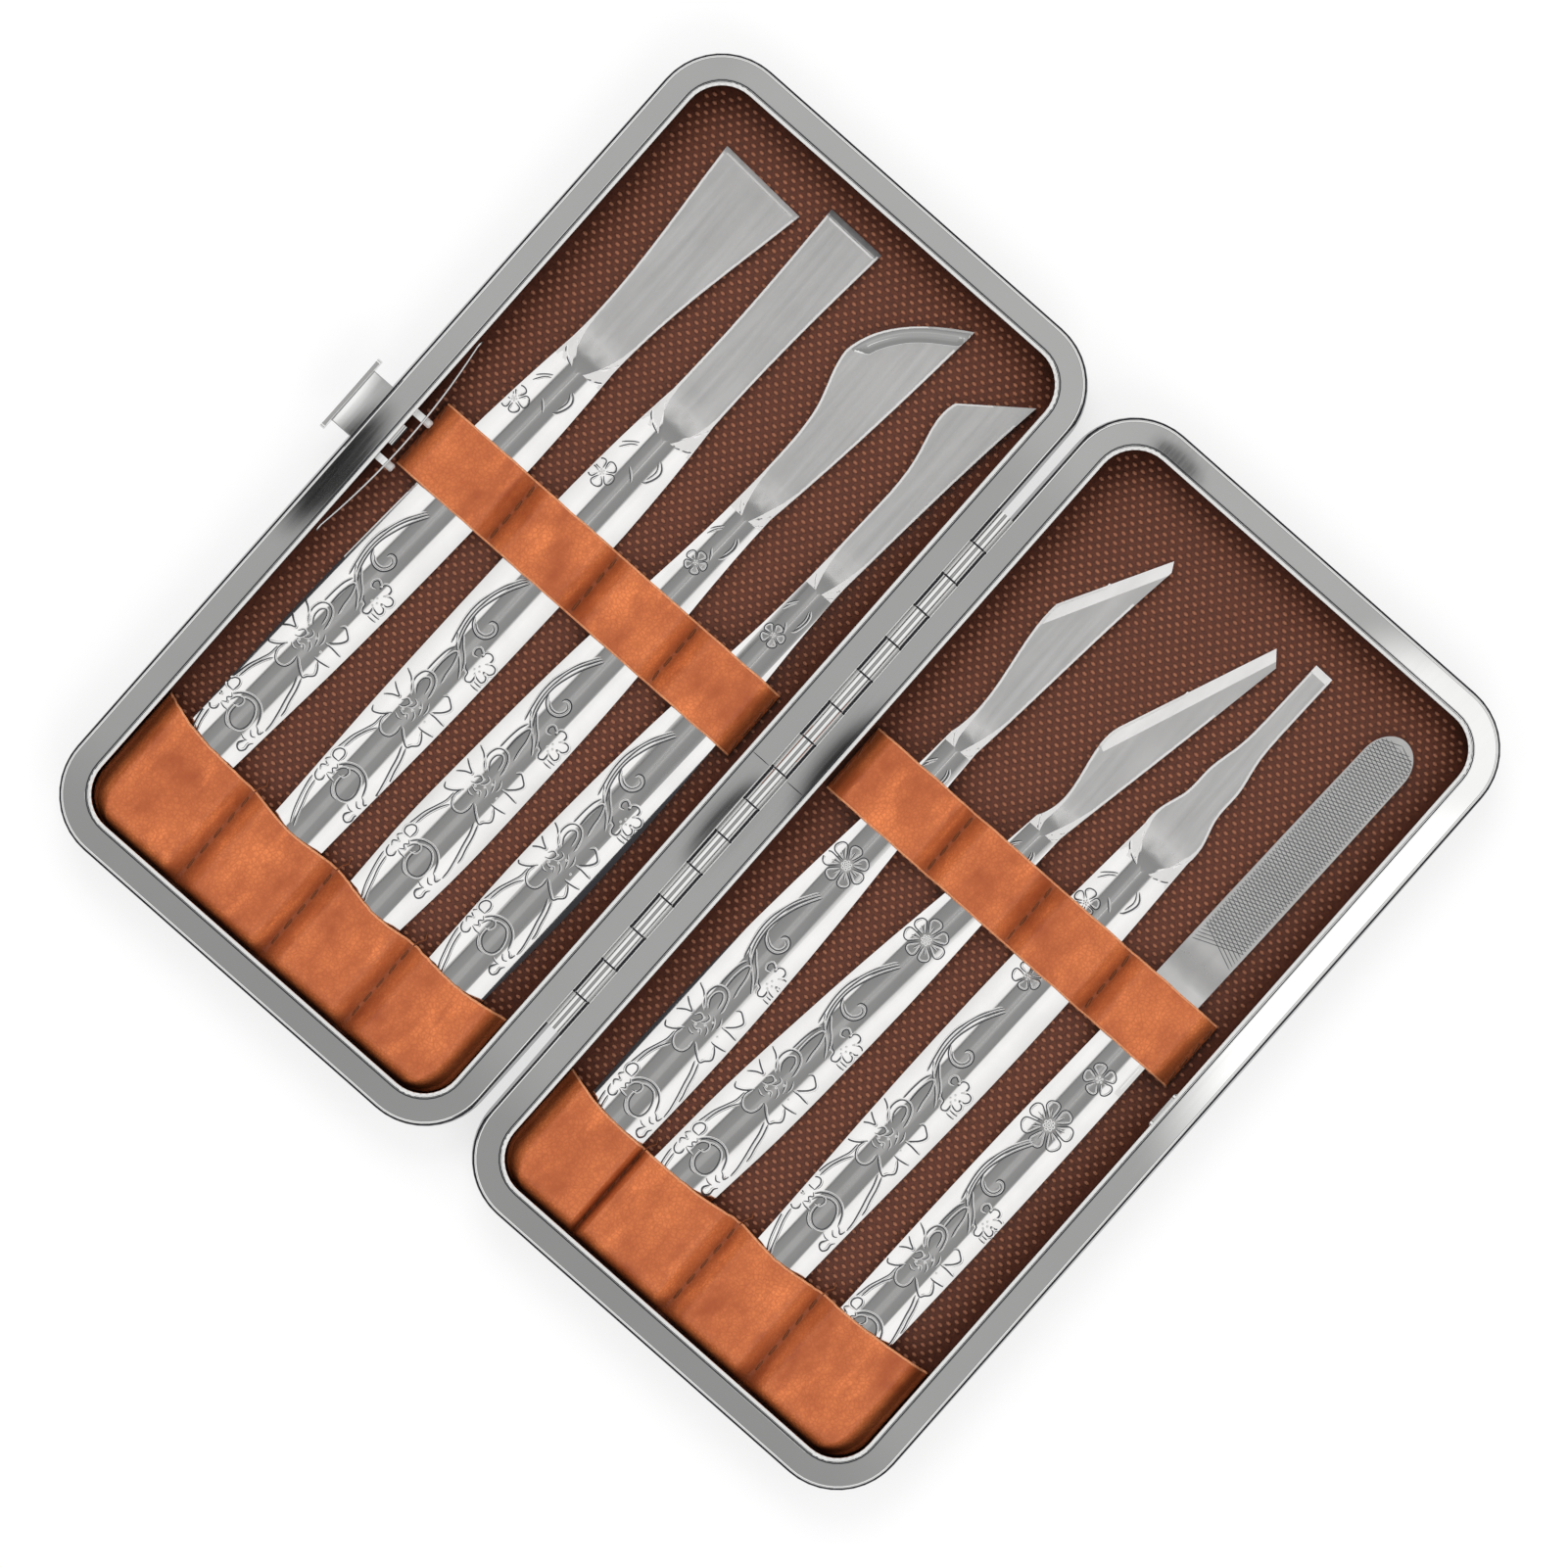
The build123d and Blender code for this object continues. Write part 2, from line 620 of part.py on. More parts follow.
# The tools from left to right: blade, axis from the hinge axis, lean, ramp start, tip, handle
tools = {
    "wide_scraper": make_tool(
        wide_scraper_blade, -65.1, 0.0525, 25, 66.2,
        [(4.2, 29), (4.85, 20), (5.3, 11), (5.7, -12), (5.5, -35), (4.9, -54)], bevel=end_bevel),
    "narrow_chisel": make_tool(
        narrow_chisel_blade, -47.6, 0.0263, 26, 69.7,
        [(4.25, 33), (5.0, 24), (5.5, 14), (5.7, -12), (5.4, -35), (4.8, -54)], bevel=end_bevel),
    "belly_knife": make_tool(
        belly_knife_blade, -30.6, 0.04, 25, 70.4,
        [(2.95, 28), (3.4, 16), (4.9, -4), (5.8, -30), (5.85, -46), (5.3, -57)]),
    "angled_knife": make_tool(
        angled_knife_blade, -14.45, 0.03, 24, 67.8,
        [(2.55, 28), (3.1, 14), (4.55, -4), (5.6, -25), (5.75, -40), (5.3, -56)]),
    "skew_knife": make_tool(
        skew_knife_blade, 17.65, 0.022, 20, 64.2,
        [(2.55, 22), (3.1, 11), (4.4, -7), (5.35, -25), (5.7, -42), (5.5, -56)],
        edge=((-3.9, 47.2, 0), (4.9, 64.2, 0))),
    "long_skew_knife": make_tool(
        long_skew_knife_blade, 34.7, 0.081, 19, 65.0,
        [(2.55, 21), (3.1, 11), (4.6, -10), (5.4, -28), (5.75, -43), (5.5, -56)],
        edge=((-3.2, 40.2, 0), (4.6, 65.0, 0))),
    "waisted_chisel": make_tool(
        waisted_chisel_blade, 50.8, 0.025, 25, 66.5,
        [(4.5, 31), (4.85, 23), (5.3, 13), (5.7, -7), (5.3, -35), (4.7, -56)], bevel=(0.5, 1.3)),
    "foot_file": make_tool(
        foot_file_blade, 67.3, 0.0235, 4, file_tip,
        [(4.25, 15), (4.5, 4), (4.9, -18), (4.95, -40), (4.8, -56)]),
}

for side, name in ((-1, "left"), (1, "right")):
    save(make_frame(side), f"{name}_frame")
    save(make_cover(side), f"{name}_cover")
    save(make_layer(side, cover_thickness, padding_thickness, rounded=True), f"{name}_padding")
    save(make_layer(side, board_bottom, board_thickness), f"{name}_board")
    save(make_layer(side, lining_bottom, lining_thickness), f"{name}_lining")
    save(make_hinge_leaf(side), f"{name}_hinge_leaf")
save(make_pocket(-1, left_pocket_seams, left_pocket_edge), "left_pocket")
save(make_pocket(1, right_pocket_seams, right_pocket_edge), "right_pocket")
save(make_band(-1, left_band_seams, left_band_y), "left_band")
save(make_band(1, right_band_seams, right_band_y), "right_band")
save(make_hinge_pin(), "hinge_pin")
save(make_latch_slider(), "latch_slider")
save(make_latch_studs(), "latch_studs")
save(make_latch_spring(), "latch_spring")
save(make_catch_plate(), "catch_plate")
for name, tool in tools.items():
    save(tool, name)
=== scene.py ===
import math
import random

import bpy
from bpy.props import FloatProperty, FloatVectorProperty, PointerProperty
from mathutils import Matrix, Vector, noise
from mathutils.bvhtree import BVHTree


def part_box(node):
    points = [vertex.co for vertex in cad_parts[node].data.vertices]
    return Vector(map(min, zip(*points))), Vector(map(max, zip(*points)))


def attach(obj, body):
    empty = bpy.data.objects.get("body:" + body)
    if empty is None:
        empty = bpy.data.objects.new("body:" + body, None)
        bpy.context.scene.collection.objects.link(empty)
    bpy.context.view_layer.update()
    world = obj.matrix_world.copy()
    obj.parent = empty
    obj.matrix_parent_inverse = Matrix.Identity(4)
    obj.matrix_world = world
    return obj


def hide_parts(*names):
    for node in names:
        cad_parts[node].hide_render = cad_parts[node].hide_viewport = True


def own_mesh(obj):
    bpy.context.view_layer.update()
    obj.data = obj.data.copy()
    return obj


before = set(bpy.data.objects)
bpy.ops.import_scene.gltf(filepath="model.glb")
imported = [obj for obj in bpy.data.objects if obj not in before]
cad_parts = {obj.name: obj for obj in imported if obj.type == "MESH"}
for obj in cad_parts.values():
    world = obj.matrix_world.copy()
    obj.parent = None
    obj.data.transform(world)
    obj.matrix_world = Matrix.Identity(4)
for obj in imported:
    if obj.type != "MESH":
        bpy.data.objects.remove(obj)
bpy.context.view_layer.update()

bl_info = {
    "name": "Pedicure set",
    "version": (1, 0, 0),
    "blender": (4, 5, 0),
    "location": "3D View > Sidebar > Pedicure set",
    "description": "Open two-half case with leather pockets, bands and eight engraved foot tools",
    "category": "Add Mesh",
}

MM = 0.001
FINISHES = {}
SIDES = {"left": -1, "right": 1}
HINGE_X = (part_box("left_frame")[1][0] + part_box("right_frame")[0][0]) / 2
RIM_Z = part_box("left_frame")[1][2]
LINING_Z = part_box("left_lining")[1][2]
FRAME_HALF = (40.65 * MM, 78.9 * MM)     # flat top of one half
FRAME_CORNER = 11.0 * MM
COVER_CORNER = 10.4 * MM
LINING_CORNER = 9.3 * MM
RIM_WIDTH = 4.65 * MM
BEAD_LINE = 0.87 * MM      # from the opening to the middle of the groove beside the bead
GROOVE_DEPTH = 0.32 * MM
KNUCKLES = 16
KNUCKLE_PITCH = 6.54 * MM
TRAY_END = 74.1 * MM       # half length of the leather-lined tray
TRAY_CORNER = 6.2 * MM
LAST_DOTS = -59.5 * MM     # no lining dots beyond, where the pockets hide them
ARCH_LAND = (0.12 * MM, 0.16 * MM)       # flat beside a seam, on top and under the leather
SHEET_END = 0.4 * MM       # leather past the last seams

# Stitched seams, as distances from the hinge axis in millimetres
BAND_SEAMS = {"left": (8.0, 24.0, 40.2, 56.9, 74.9), "right": (7.3, 26.8, 43.0, 58.8, 75.7)}
BAND_Y = {"left": 2.7, "right": 9.0}
POCKET_SEAMS = {"left": (6.65, 24.5, 41.0, 58.3, 77.45), "right": (6.65, 22.7, 41.1, 57.7, 77.45)}
TIGHT_SEAMS = (22.7,)
TIGHT_SHOULDER = 1.2 * MM
POCKET_EDGE = {
    "left": ((6.0, -56.0), (15.0, -57.2), (24.5, -56.7), (32.0, -57.2), (41.0, -55.8), (50.0, -56.3),
             (58.3, -55.2), (70.0, -54.4), (77.9, -52.4)),
    "right": ((6.0, -54.9), (14.0, -56.6), (24.0, -56.8), (33.0, -56.6), (41.1, -55.6), (49.0, -56.2),
              (57.7, -55.4), (66.0, -55.2), (77.9, -54.0)),
}

# Engraving: kind, distance from the hinge axis, Y and size of each motif, in millimetres
ORNAMENT = {
    "wide_scraper": (("sprig", -67.5, -32.0, 1.0), ("blossom", -68.2, 16.0, 2.2)),
    "narrow_chisel": (("sprig", -48.6, -29.5, 1.0), ("blossom", -50.7, 16.4, 2.2)),
    "belly_knife": (("sprig", -32.5, -31.0, 1.0), ("blossom", -30.8, 15.5, 1.9)),
    "angled_knife": (("sprig", -16.4, -32.2, 1.0), ("blossom", -14.6, 15.0, 1.9)),
    "skew_knife": (("sprig", 16.8, -36.0, 1.0), ("flower", 17.1, -4.0, 3.6)),
    "long_skew_knife": (("sprig", 31.3, -36.0, 1.0), ("flower", 33.8, -4.5, 3.6)),
    "waisted_chisel": (("sprig", 49.3, -30.5, 1.0), ("blossom", 48.3, 16.0, 2.1),
                       ("blossom", 49.2, 1.6, 2.3)),
    "foot_file": (("sprig", 66.0, -41.0, 0.93), ("blossom", 67.8, -3.0, 2.6), ("flower", 66.6, -13.3, 4.0)),
}
# The sprig that every handle carries, in millimetres from the middle of its flower: weight and
# points of each line, petals first, then the flower's heart, stems, blossoms and crescent
SPRIG = (
    (1.2, ((-4.7, 1), (-3.6, 0.3), (-2.6, -0.3), (-3.6, -0.8), (-4.7, -1.6))),
    (1.2, ((-4.7, -3.9), (-4.2, -4.6), (-3.3, -4.3), (-2.5, -3.7), (-1.8, -2.9))),
    (1, ((-2, -3.1), (-2.3, -4.5), (-1.7, -5.8), (-0.7, -6.3), (0.4, -5.9), (0.8, -4.7), (0.6, -3.5))),
    (1.2, ((0.8, -3.5), (1.9, -4.5), (3.4, -5.4), (3.9, -4.8), (4.6, -4), (4.3, -3.1), (3.5, -2.1))),
    (1.2, ((2.7, -1.9), (3.6, -1.9), (5.4, -1.6))),
    (1.2, ((2.4, 0.8), (3.6, 0.9), (5.5, 0.7))),
    (1.2, ((2.3, 4.1), (2.9, 4.6), (3.7, 4.2), (4.5, 3.4), (4, 2.2), (2.6, 0.9))),
    (1, ((-1.3, 1.1), (-2.3, 2.1), (-2.8, 3.6), (-2.5, 5), (-1.7, 5.6), (-0.7, 5.5), (0.1, 4.7), (0.6,
          3.3), (0.8, 2.2))),
    (0.9, ((-1, 1.6), (-1.8, 2.9), (-1.8, 4.2), (-1.1, 4.8), (-0.4, 4.1), (0, 2.5))),
    (1.2, ((-4.7, 3.8), (-3.5, 3.3), (-2.5, 2.4), (-1.6, 1.2))),
    (0.8, ((-2, -0.5), (-1.4, 0.3), (-0.7, -0.1), (-1.1, -1), (-1.9, -1.3))),
    (0.8, ((-0.6, 1), (0.1, 0.6), (-0.1, -0.3), (-0.7, -0.7))),
    (0.8, ((0.4, 1.3), (1.1, 0.5), (1.6, -0.7))),
    (0.8, ((0.4, -0.5), (1.1, -1.1), (1.4, -2))),
    (0.8, ((-1.3, -1.7), (-0.4, -2), (0.2, -1.6), (0.7, -2.3))),
    (0.8, ((-1.5, -2.5), (-0.7, -2.9), (0, -2.7))),
    (0.8, ((1.4, 1.9), (1.9, 0.9), (2, -0.1))),
    (1, ((-2.3, 5.5), (-2.3, 7.7), (-2.1, 9.7), (-1.6, 11.1))),
    (1, ((-1.3, 5.7), (-1.4, 8.1), (-1.1, 10.1), (-0.6, 10.5), (0, 8.9), (0.3, 6.9), (0.7, 5.3))),
    (1, ((-2.4, 11.1), (-3, 13.3), (-3.5, 16), (-3.5, 18.5), (-3, 20.7), (-2.2, 23.1), (-1.3, 24.7),
          (-0.5, 26.1))),
    (1, ((-1.7, 11.7), (-2.6, 13.9), (-3, 16.5), (-2.9, 19.1), (-2.4, 21.5), (-1.4, 23.8), (-0.1, 26))),
    (1, ((-0.7, 10.9), (-1.9, 13.1), (-2.5, 15.5), (-2.6, 17.9), (-2.1, 20.3), (-1.2, 22.9), (0.3, 25.8))),
    (1.2, ((-2.5, 16.6), (-2, 15.5), (-1.2, 14.8), (-0.3, 14.5), (0.7, 14.7), (1.4, 15.4), (1.7, 16.4),
          (1.4, 17.3), (0.7, 17.8), (0, 17.6), (-0.2, 17))),
    (0.8, ((-1.7, 15.9), (-1, 15.3), (-0.2, 15.1), (0.6, 15.3), (1.1, 16), (1.1, 16.8), (0.5, 17.2))),
    (1, ((-2.7, 12.9), (-1.5, 11.4), (-0.3, 10.4), (0.8, 9.4), (1.6, 8.4), (2.2, 7.6))),
    (0.9, ((-1.9, 13.3), (-0.7, 11.9), (0.5, 10.8), (1.3, 9.8), (1.8, 8.8))),
    (1.1, ((2.1, 12.2), (1.4, 12.1), (1.1, 12.8), (1.5, 13.4), (2.3, 13), (2.6, 12.6), (2.6, 13.4),
          (3.3, 13.8), (4, 13.5), (4.1, 12.6), (3.7, 12))),
    (1.1, ((3.7, 12), (4.5, 12.6), (5.3, 12.5), (5.6, 11.8), (5.2, 11.1), (4.3, 10.9), (5.1, 10.6),
          (5.4, 10), (5.1, 9.4), (4.2, 9.5), (3.7, 9.8))),
    (1.1, ((3.7, 9.8), (3.9, 9), (3.8, 8.4), (3.2, 8.1), (2.7, 8.5), (2.5, 9.3), (1.8, 9.6), (1.4, 10.3))),
    (1.1, ((4.2, 8.9), (5.7, 8.9))),
    (1.1, ((4.1, 8.2), (5.6, 8.2))),
    (1, ((-2.6, -4.3), (-2.6, -5.9), (-3.1, -7.5), (-3.8, -9.5), (-4.1, -11.3), (-4.3, -12.5))),
    (1, ((-1.8, -6.1), (-2.6, -7.5), (-3.3, -9.5), (-3.6, -11.7))),
    (1, ((2.8, -5.7), (3.5, -7.5), (4, -9.5), (4.6, -11.7), (5.1, -13.9), (5.2, -15.4))),
    (1, ((3.5, -5.6), (4.2, -7.5), (4.7, -9.5), (5.2, -11.1), (5.3, -12.1))),
    (1.1, ((-2.7, -13.9), (-3.9, -13.9), (-4.3, -13.1), (-3.9, -12.2), (-3.1, -12), (-2.6, -12.7),
          (-2.7, -13.9))),
    (1.1, ((-4.3, -16.8), (-4, -17.7), (-3.3, -18.1), (-2.7, -17.6), (-2.8, -16.8))),
    (1, ((-3.9, -14.1), (-4.4, -14.9), (-3.6, -15.4), (-4.3, -16), (-3.9, -16.7))),
    (1, ((-2.6, -14.3), (-2.1, -14.8), (-2.6, -15.3), (-2.1, -15.8), (-2.8, -16.3))),
    (1, ((-2.8, -16.5), (-2, -16.7), (-1.1, -16.7))),
    (1.1, ((-2.4, -14.4), (-1.6, -13.4), (-0.6, -12.8), (0.6, -12.6), (1.8, -12.9), (2.8, -13.7), (3.4,
          -14.8), (3.7, -15.7))),
    (1, ((-1, -13.9), (0.1, -13.4), (1.3, -13.5), (2.1, -14.3), (2.6, -15.5), (2.7, -16.7), (2.3,
          -17.7), (1.3, -18.1), (0.3, -17.8), (-0.5, -16.9), (-0.7, -15.7), (-0.5, -14.9))),
    (0.9, ((-1.2, -16.9), (-0.6, -17.9), (0.2, -18.5), (1.1, -18.6))),
    (0.9, ((-2, -15.3), (-1.6, -14.3), (-0.8, -13.8), (-0.3, -14.3), (-0.5, -15.1), (-1.3, -15.4))),
    (1.2, ((3.7, -15.7), (4.2, -15.9), (4.8, -16.4), (5.1, -15.6))),
    (1.2, ((3.5, -16.7), (4.2, -17.3), (4.8, -17.1))),
    (1, ((2.8, -18), (3.5, -18.3), (4.2, -18.3))),
    (1.2, ((4, -18.4), (3.5, -19.4), (3.9, -20), (4.5, -20.1), (4.9, -19.5), (4.8, -18.6), (5.2, -18))),
    (1, ((-4.2, -18.1), (-3.9, -19.8), (-3.3, -22), (-2.6, -24), (-1.7, -25.8))),
    (1, ((-3.4, -18.4), (-3, -20.5), (-2.3, -22.5), (-1.6, -24.5), (-1, -25.9))),
)
# Raised dots of the sprig
SPRIG_BEADS = ((-0.6, 0.2), (0.3, -0.6), (-0.9, -1.4), (0.1, -1.9), (0.9, 0.5), (2.8, -0.7),
               (3.2, 11.2), (3.7, 10.6), (2.9, 10.4), (3.4, 9.9), (-4.2, -15.0), (-3.6, -15.5))
# Lines around a neck, from the tool's axis and the foot of its blade: weight and points
NECK_HALF = 4.75
NECK = (
    (1.0, ((-4.6, -4.2), (-3.9, -5.1), (-3.0, -5.8), (-2.2, -6.2), (-1.4, -6.5))),
    (1.0, ((4.9, -5.0), (4.0, -5.8), (3.0, -6.2), (2.1, -6.5))),
    (1.0, ((-2.4, -9.4), (-3.5, -10.2), (-4.5, -11.1))),
    (0.9, ((-2.3, -9.9), (-3.3, -10.6), (-4.3, -12.0))),
    (1.1, ((2.1, -9.5), (2.9, -10.2), (3.3, -11.1), (3.1, -12.3), (2.5, -13.5), (2.0, -13.8))),
    (0.8, ((1.8, -9.7), (2.4, -10.6), (2.6, -11.5), (2.3, -13.0))),
    (1.0, ((-1.0, -13.2), (-0.1, -14.0), (0.8, -14.9))),
)
# Across an engraved line: place in half widths, and height in edge heights. The first three make the dark cut,
# painted shade of a recess on a raised strip, the last three its bright edge
CUT_PROFILE = ((-1.0, 0.3), (-0.3, 0.5), (0.4, 0.5), (1.15, 2.1), (1.9, 0.3))
# Each tool's axis: distance from the hinge axis at Y = 0, and lean
AXES = {
    "wide_scraper": (-65.1, 0.0525), "narrow_chisel": (-47.6, 0.0263), "belly_knife": (-30.6, 0.04),
    "angled_knife": (-14.45, 0.03), "skew_knife": (17.65, 0.022), "long_skew_knife": (34.7, 0.081),
    "waisted_chisel": (50.8, 0.025), "foot_file": (67.3, 0.0235),
}
# Light of the tent by height: 0.5 is level and 1 straight above, where the camera looks through
TENT = ((0.0, 0.05), (0.2, 0.1), (0.34, 0.85), (0.80, 1.05), (0.9, 1.0), (0.922, 0.26), (0.99, 0.31),
        (0.998, 0.43), (1.0, 0.43))
# Cards in the top of the tent: place in X and Y, half sizes (as parts of the height), light
TENT_CARDS = (
    (0.0, 0.05, 0.07, 0.012, 0.5), (0.0, -0.05, 0.07, 0.012, 0.34), (-0.0515, 0.03, 0.004, 0.028, 0.47),
    (-0.385, 0.0, 0.022, 0.6, 0.2), (0.0506, 0.024, 0.006, 0.024, 1.3), (0.045, 0.046, 0.012, 0.006, 1.1),
    (-0.0519, -0.0057, 0.0024, 0.0074, 0.02), (-0.0562, 0.0, 0.0020, 0.0052, 1.2),
    (-0.0489, 0.0, 0.0009, 0.0045, 1.1), (-0.0020, -0.0065, 0.0014, 0.0055, 0.05),
    (0.0034, 0.0050, 0.0026, 0.0072, 0.02), (0.0078, 0.0478, 0.003, 0.0012, 0.12),
)
# The photo's frame: the way to its right, and its middle from the hinge axis, in millimetres
VIEW_RIGHT = (0.7500, 0.6615, 0.0)
VIEW_CENTRE = (1.72, -0.97)
SQUARE_ENDS = ("wide_scraper", "narrow_chisel")
CHAMFER = 0.34             # width of the ground edge along a blade, in millimetres
# Y where each flat blade ends at its handle, in millimetres
BLADE_FOOT = {"wide_scraper": 32, "narrow_chisel": 33, "belly_knife": 32, "angled_knife": 31,
              "skew_knife": 27, "long_skew_knife": 26, "waisted_chisel": 32, "foot_file": 22}


def linear(red, green, blue):
    """Colour of 0 to 255 as the linear values that a shader takes."""
    out = []
    for value in (red, green, blue):
        part = value / 255
        out.append(part / 12.92 if part <= 0.04045 else ((part + 0.055) / 1.055) ** 2.4)
    return tuple(out)


def length(name, description, default):
    return FloatProperty(name=name, description=description, default=default, unit="LENGTH", precision=5)


def colour(name, description, *rgb):
    return FloatVectorProperty(name=name, description=description, default=linear(*rgb), subtype="COLOR",
                               min=0.0, max=1.0)


class PedicureSetSizes(bpy.types.PropertyGroup):
    leather: length("Leather", "Thickness of pockets and bands", 1.1 * MM)
    arch_rise: length("Arch rise", "Inside of a leather arch above the lining", 3.2 * MM)
    shoulder: length("Arch shoulder", "Width of the slope on each side of an arch", 3.1 * MM)
    crown: length("Arch crown", "Rise of the top of an arch between its shoulders", 0.35 * MM)
    band_width: length("Band width", "Width of the two bands along the tools", 12.2 * MM)
    wrinkle: length("Wrinkle", "Height of the wrinkles in the tan leather", 0.16 * MM)
    stitch_pitch: length("Stitch pitch", "From one stitch to the next", 2.9 * MM)
    thread_radius: length("Thread radius", "Radius of the sewing thread", 0.2 * MM)
    dot_pitch: length("Dot pitch", "From one embossed dot of the lining to the next", 1.62 * MM)
    dot_radius: length("Dot radius", "Half the length of an embossed dot", 0.56 * MM)
    dot_height: length("Dot height", "Height of an embossed dot", 0.15 * MM)
    line_width: length("Line width", "Width of an engraved line", 0.3 * MM)
    line_height: length("Line height", "Edge that an engraved line throws up", 0.03 * MM)
    # painted shade: width of the dark line laid in the bead's groove
    bead_groove_shade: length("Bead groove shade", "Width of the dark line beside a frame's bead", 0.2 * MM)
    view_width: length("View width", "Width of the table that the camera sees", 239.2 * MM)
    camera_height: length("Camera height", "Camera above the case's flat tops", 1.6)
    floor_size: length("Floor size", "Side of the square floor", 4.0)


class PedicureSetColours(bpy.types.PropertyGroup):
    nickel: colour("Nickel", "Plated frames, hinge and latch", 236, 236, 235)
    steel: colour("Steel", "Tools and spring", 241, 240, 239)
    # painted shade: dark metal tone of the engraved cuts and of the frame's bead groove, where shade falls in
    # the recess
    engraving_shade: colour("Engraving", "Bottom of the engraved lines", 92, 93, 96)
    # painted shade: dark tone of the frames' steep walls, the hinge gaps and the outer wall line; it also
    # colours the real seam line on the flange
    shade: colour("Painted shade and joints", "Metal in the frame's walls and joints", 62, 62, 66)
    tan: colour("Tan leather", "Pockets and bands", 212, 120, 68)
    # the leather's own darker mottle, creases and pores; much darkened, also the painted shade in the sewn
    # valleys
    tan_dark: colour("Tan dark and fold shade", "Folds and worn spots of the tan leather", 158, 76, 38)
    cover: colour("Cover leather", "Outside of the case", 96, 54, 42)
    lining: colour("Lining", "Ground of the embossed lining", 84, 44, 30)
    lining_dot: colour("Lining dots", "Tops of the lining's dots", 142, 90, 66)
    cut_edge: colour("Cut edge", "Raw edges of the tan leather", 226, 150, 104)
    thread: colour("Thread", "Sewing thread", 112, 58, 26)
    board: colour("Board", "Stiffening board", 150, 128, 100)
    foam: colour("Foam", "Padding under the cover", 200, 190, 165)
    floor: colour("Floor", "Table under the case", 246, 246, 246)


def sizes():
    return bpy.context.scene.pedicure_sizes


def colours():
    return bpy.context.scene.pedicure_colours


# Materials

class Nodes:
    """The node tree of a new material or world, with short ways to add and join nodes."""

    def __init__(self, owner):
        self.owner = owner
        owner.use_nodes = True
        self.tree = owner.node_tree
        self.shader = next(n for n in self.tree.nodes if n.type in ("BSDF_PRINCIPLED", "BACKGROUND"))
        ways = self.add("ShaderNodeTexCoord").outputs
        self.place, self.facing, self.direction = ways["Object"], ways["Normal"], ways["Generated"]

    def add(self, kind, **values):
        node = self.tree.nodes.new(kind)
        for key, value in values.items():
            if hasattr(node, key):
                setattr(node, key, value)
            else:
                node.inputs[key.replace("_", " ")].default_value = value
        return node

    def link(self, source, target):
        self.tree.links.new(source, target)

    def axis(self, name, vector=None):
        """X, Y or Z of a vector, or of the place on the object."""
        node = self.add("ShaderNodeSeparateXYZ")
        self.link(vector or self.place, node.inputs[0])
        return node.outputs[name]

    def stretched(self, scale):
        """Object coordinates, stretched by scale in X, Y and Z."""
        node = self.add("ShaderNodeMapping")
        node.inputs["Scale"].default_value = scale
        self.link(self.place, node.inputs["Vector"])
        return node.outputs[0]

    def noise(self, scale, detail=4.0, rough=0.55, vector=None):
        node = self.add("ShaderNodeTexNoise", Scale=scale, Detail=detail, Roughness=rough)
        self.link(vector or self.place, node.inputs["Vector"])
        return node.outputs["Fac"]

    def cells(self, scale):
        node = self.add("ShaderNodeTexVoronoi", feature="DISTANCE_TO_EDGE", Scale=scale)
        self.link(self.place, node.inputs["Vector"])
        return node.outputs["Distance"]

    def ramp(self, source, low, high, start=0.0, end=1.0):
        """Value mapped from start..end to low..high, or from one colour to another."""
        if isinstance(low, (int, float)):
            node = self.add("ShaderNodeMapRange")
            self.link(source, node.inputs["Value"])
            for key, value in (("From Min", start), ("From Max", end), ("To Min", low), ("To Max", high)):
                node.inputs[key].default_value = value
            return node.outputs["Result"]
        node = self.add("ShaderNodeValToRGB")
        self.link(source, node.inputs["Fac"])
        for element, place, value in zip(node.color_ramp.elements, (start, end), (low, high)):
            element.position = place
            element.color = (*value, 1.0)
        return node.outputs["Color"]

    def fill(self, node, sources):
        """Inputs of a node by their keys: an output is linked, a number or colour is set."""
        for key, source in sources:
            if isinstance(source, bpy.types.NodeSocket):
                self.link(source, node.inputs[key])
            else:
                node.inputs[key].default_value = (*source, 1.0) if hasattr(source, "__len__") else source

    def mix(self, factor, first, second):
        """Colour between two others."""
        node = self.add("ShaderNodeMix", data_type="RGBA")
        self.fill(node, ((0, factor), (6, first), (7, second)))
        return node.outputs[2]

    def math(self, operation, first, second):
        node = self.add("ShaderNodeMath", operation=operation)
        self.fill(node, ((0, first), (1, second)))
        return node.outputs[0]

    def bump(self, source, distance, strength=1.0):
        node = self.add("ShaderNodeBump", Distance=distance, Strength=strength)
        self.link(source, node.inputs["Height"])
        self.link(node.outputs["Normal"], self.shader.inputs["Normal"])

    def set(self, **values):
        self.fill(self.shader, ((key.replace("_", " "), value) for key, value in values.items()))


def plated(name, base, low, high, wall=None):
    """Bright plated metal: cloudy gloss with fine scratches; given a wall tone, painted shade darkens a frame's
    steep walls.
    """
    made = Nodes(bpy.data.materials.new(name))
    cloud = made.noise(22.0, 5.0)
    scratch = made.noise(1500.0, 2.0, vector=made.stretched((1.0, 0.03, 1.0)))
    tone = made.ramp(cloud, [0.95 * c for c in base], base, 0.35, 0.6)
    if wall:
        # painted shade: steep faces take the wall tone in place of the dark that the walls reflect
        wall_shade_mask = made.ramp(made.math("ABSOLUTE", made.axis("Z", made.facing), 0.0), 1.0, 0.0, 0.12, 0.5)
        tone = made.mix(wall_shade_mask, tone, wall)
    made.set(Metallic=1.0, Base_Color=tone,
             Roughness=made.ramp(made.math("MULTIPLY", cloud, scratch), low, high, 0.1, 0.45))
    return made.owner


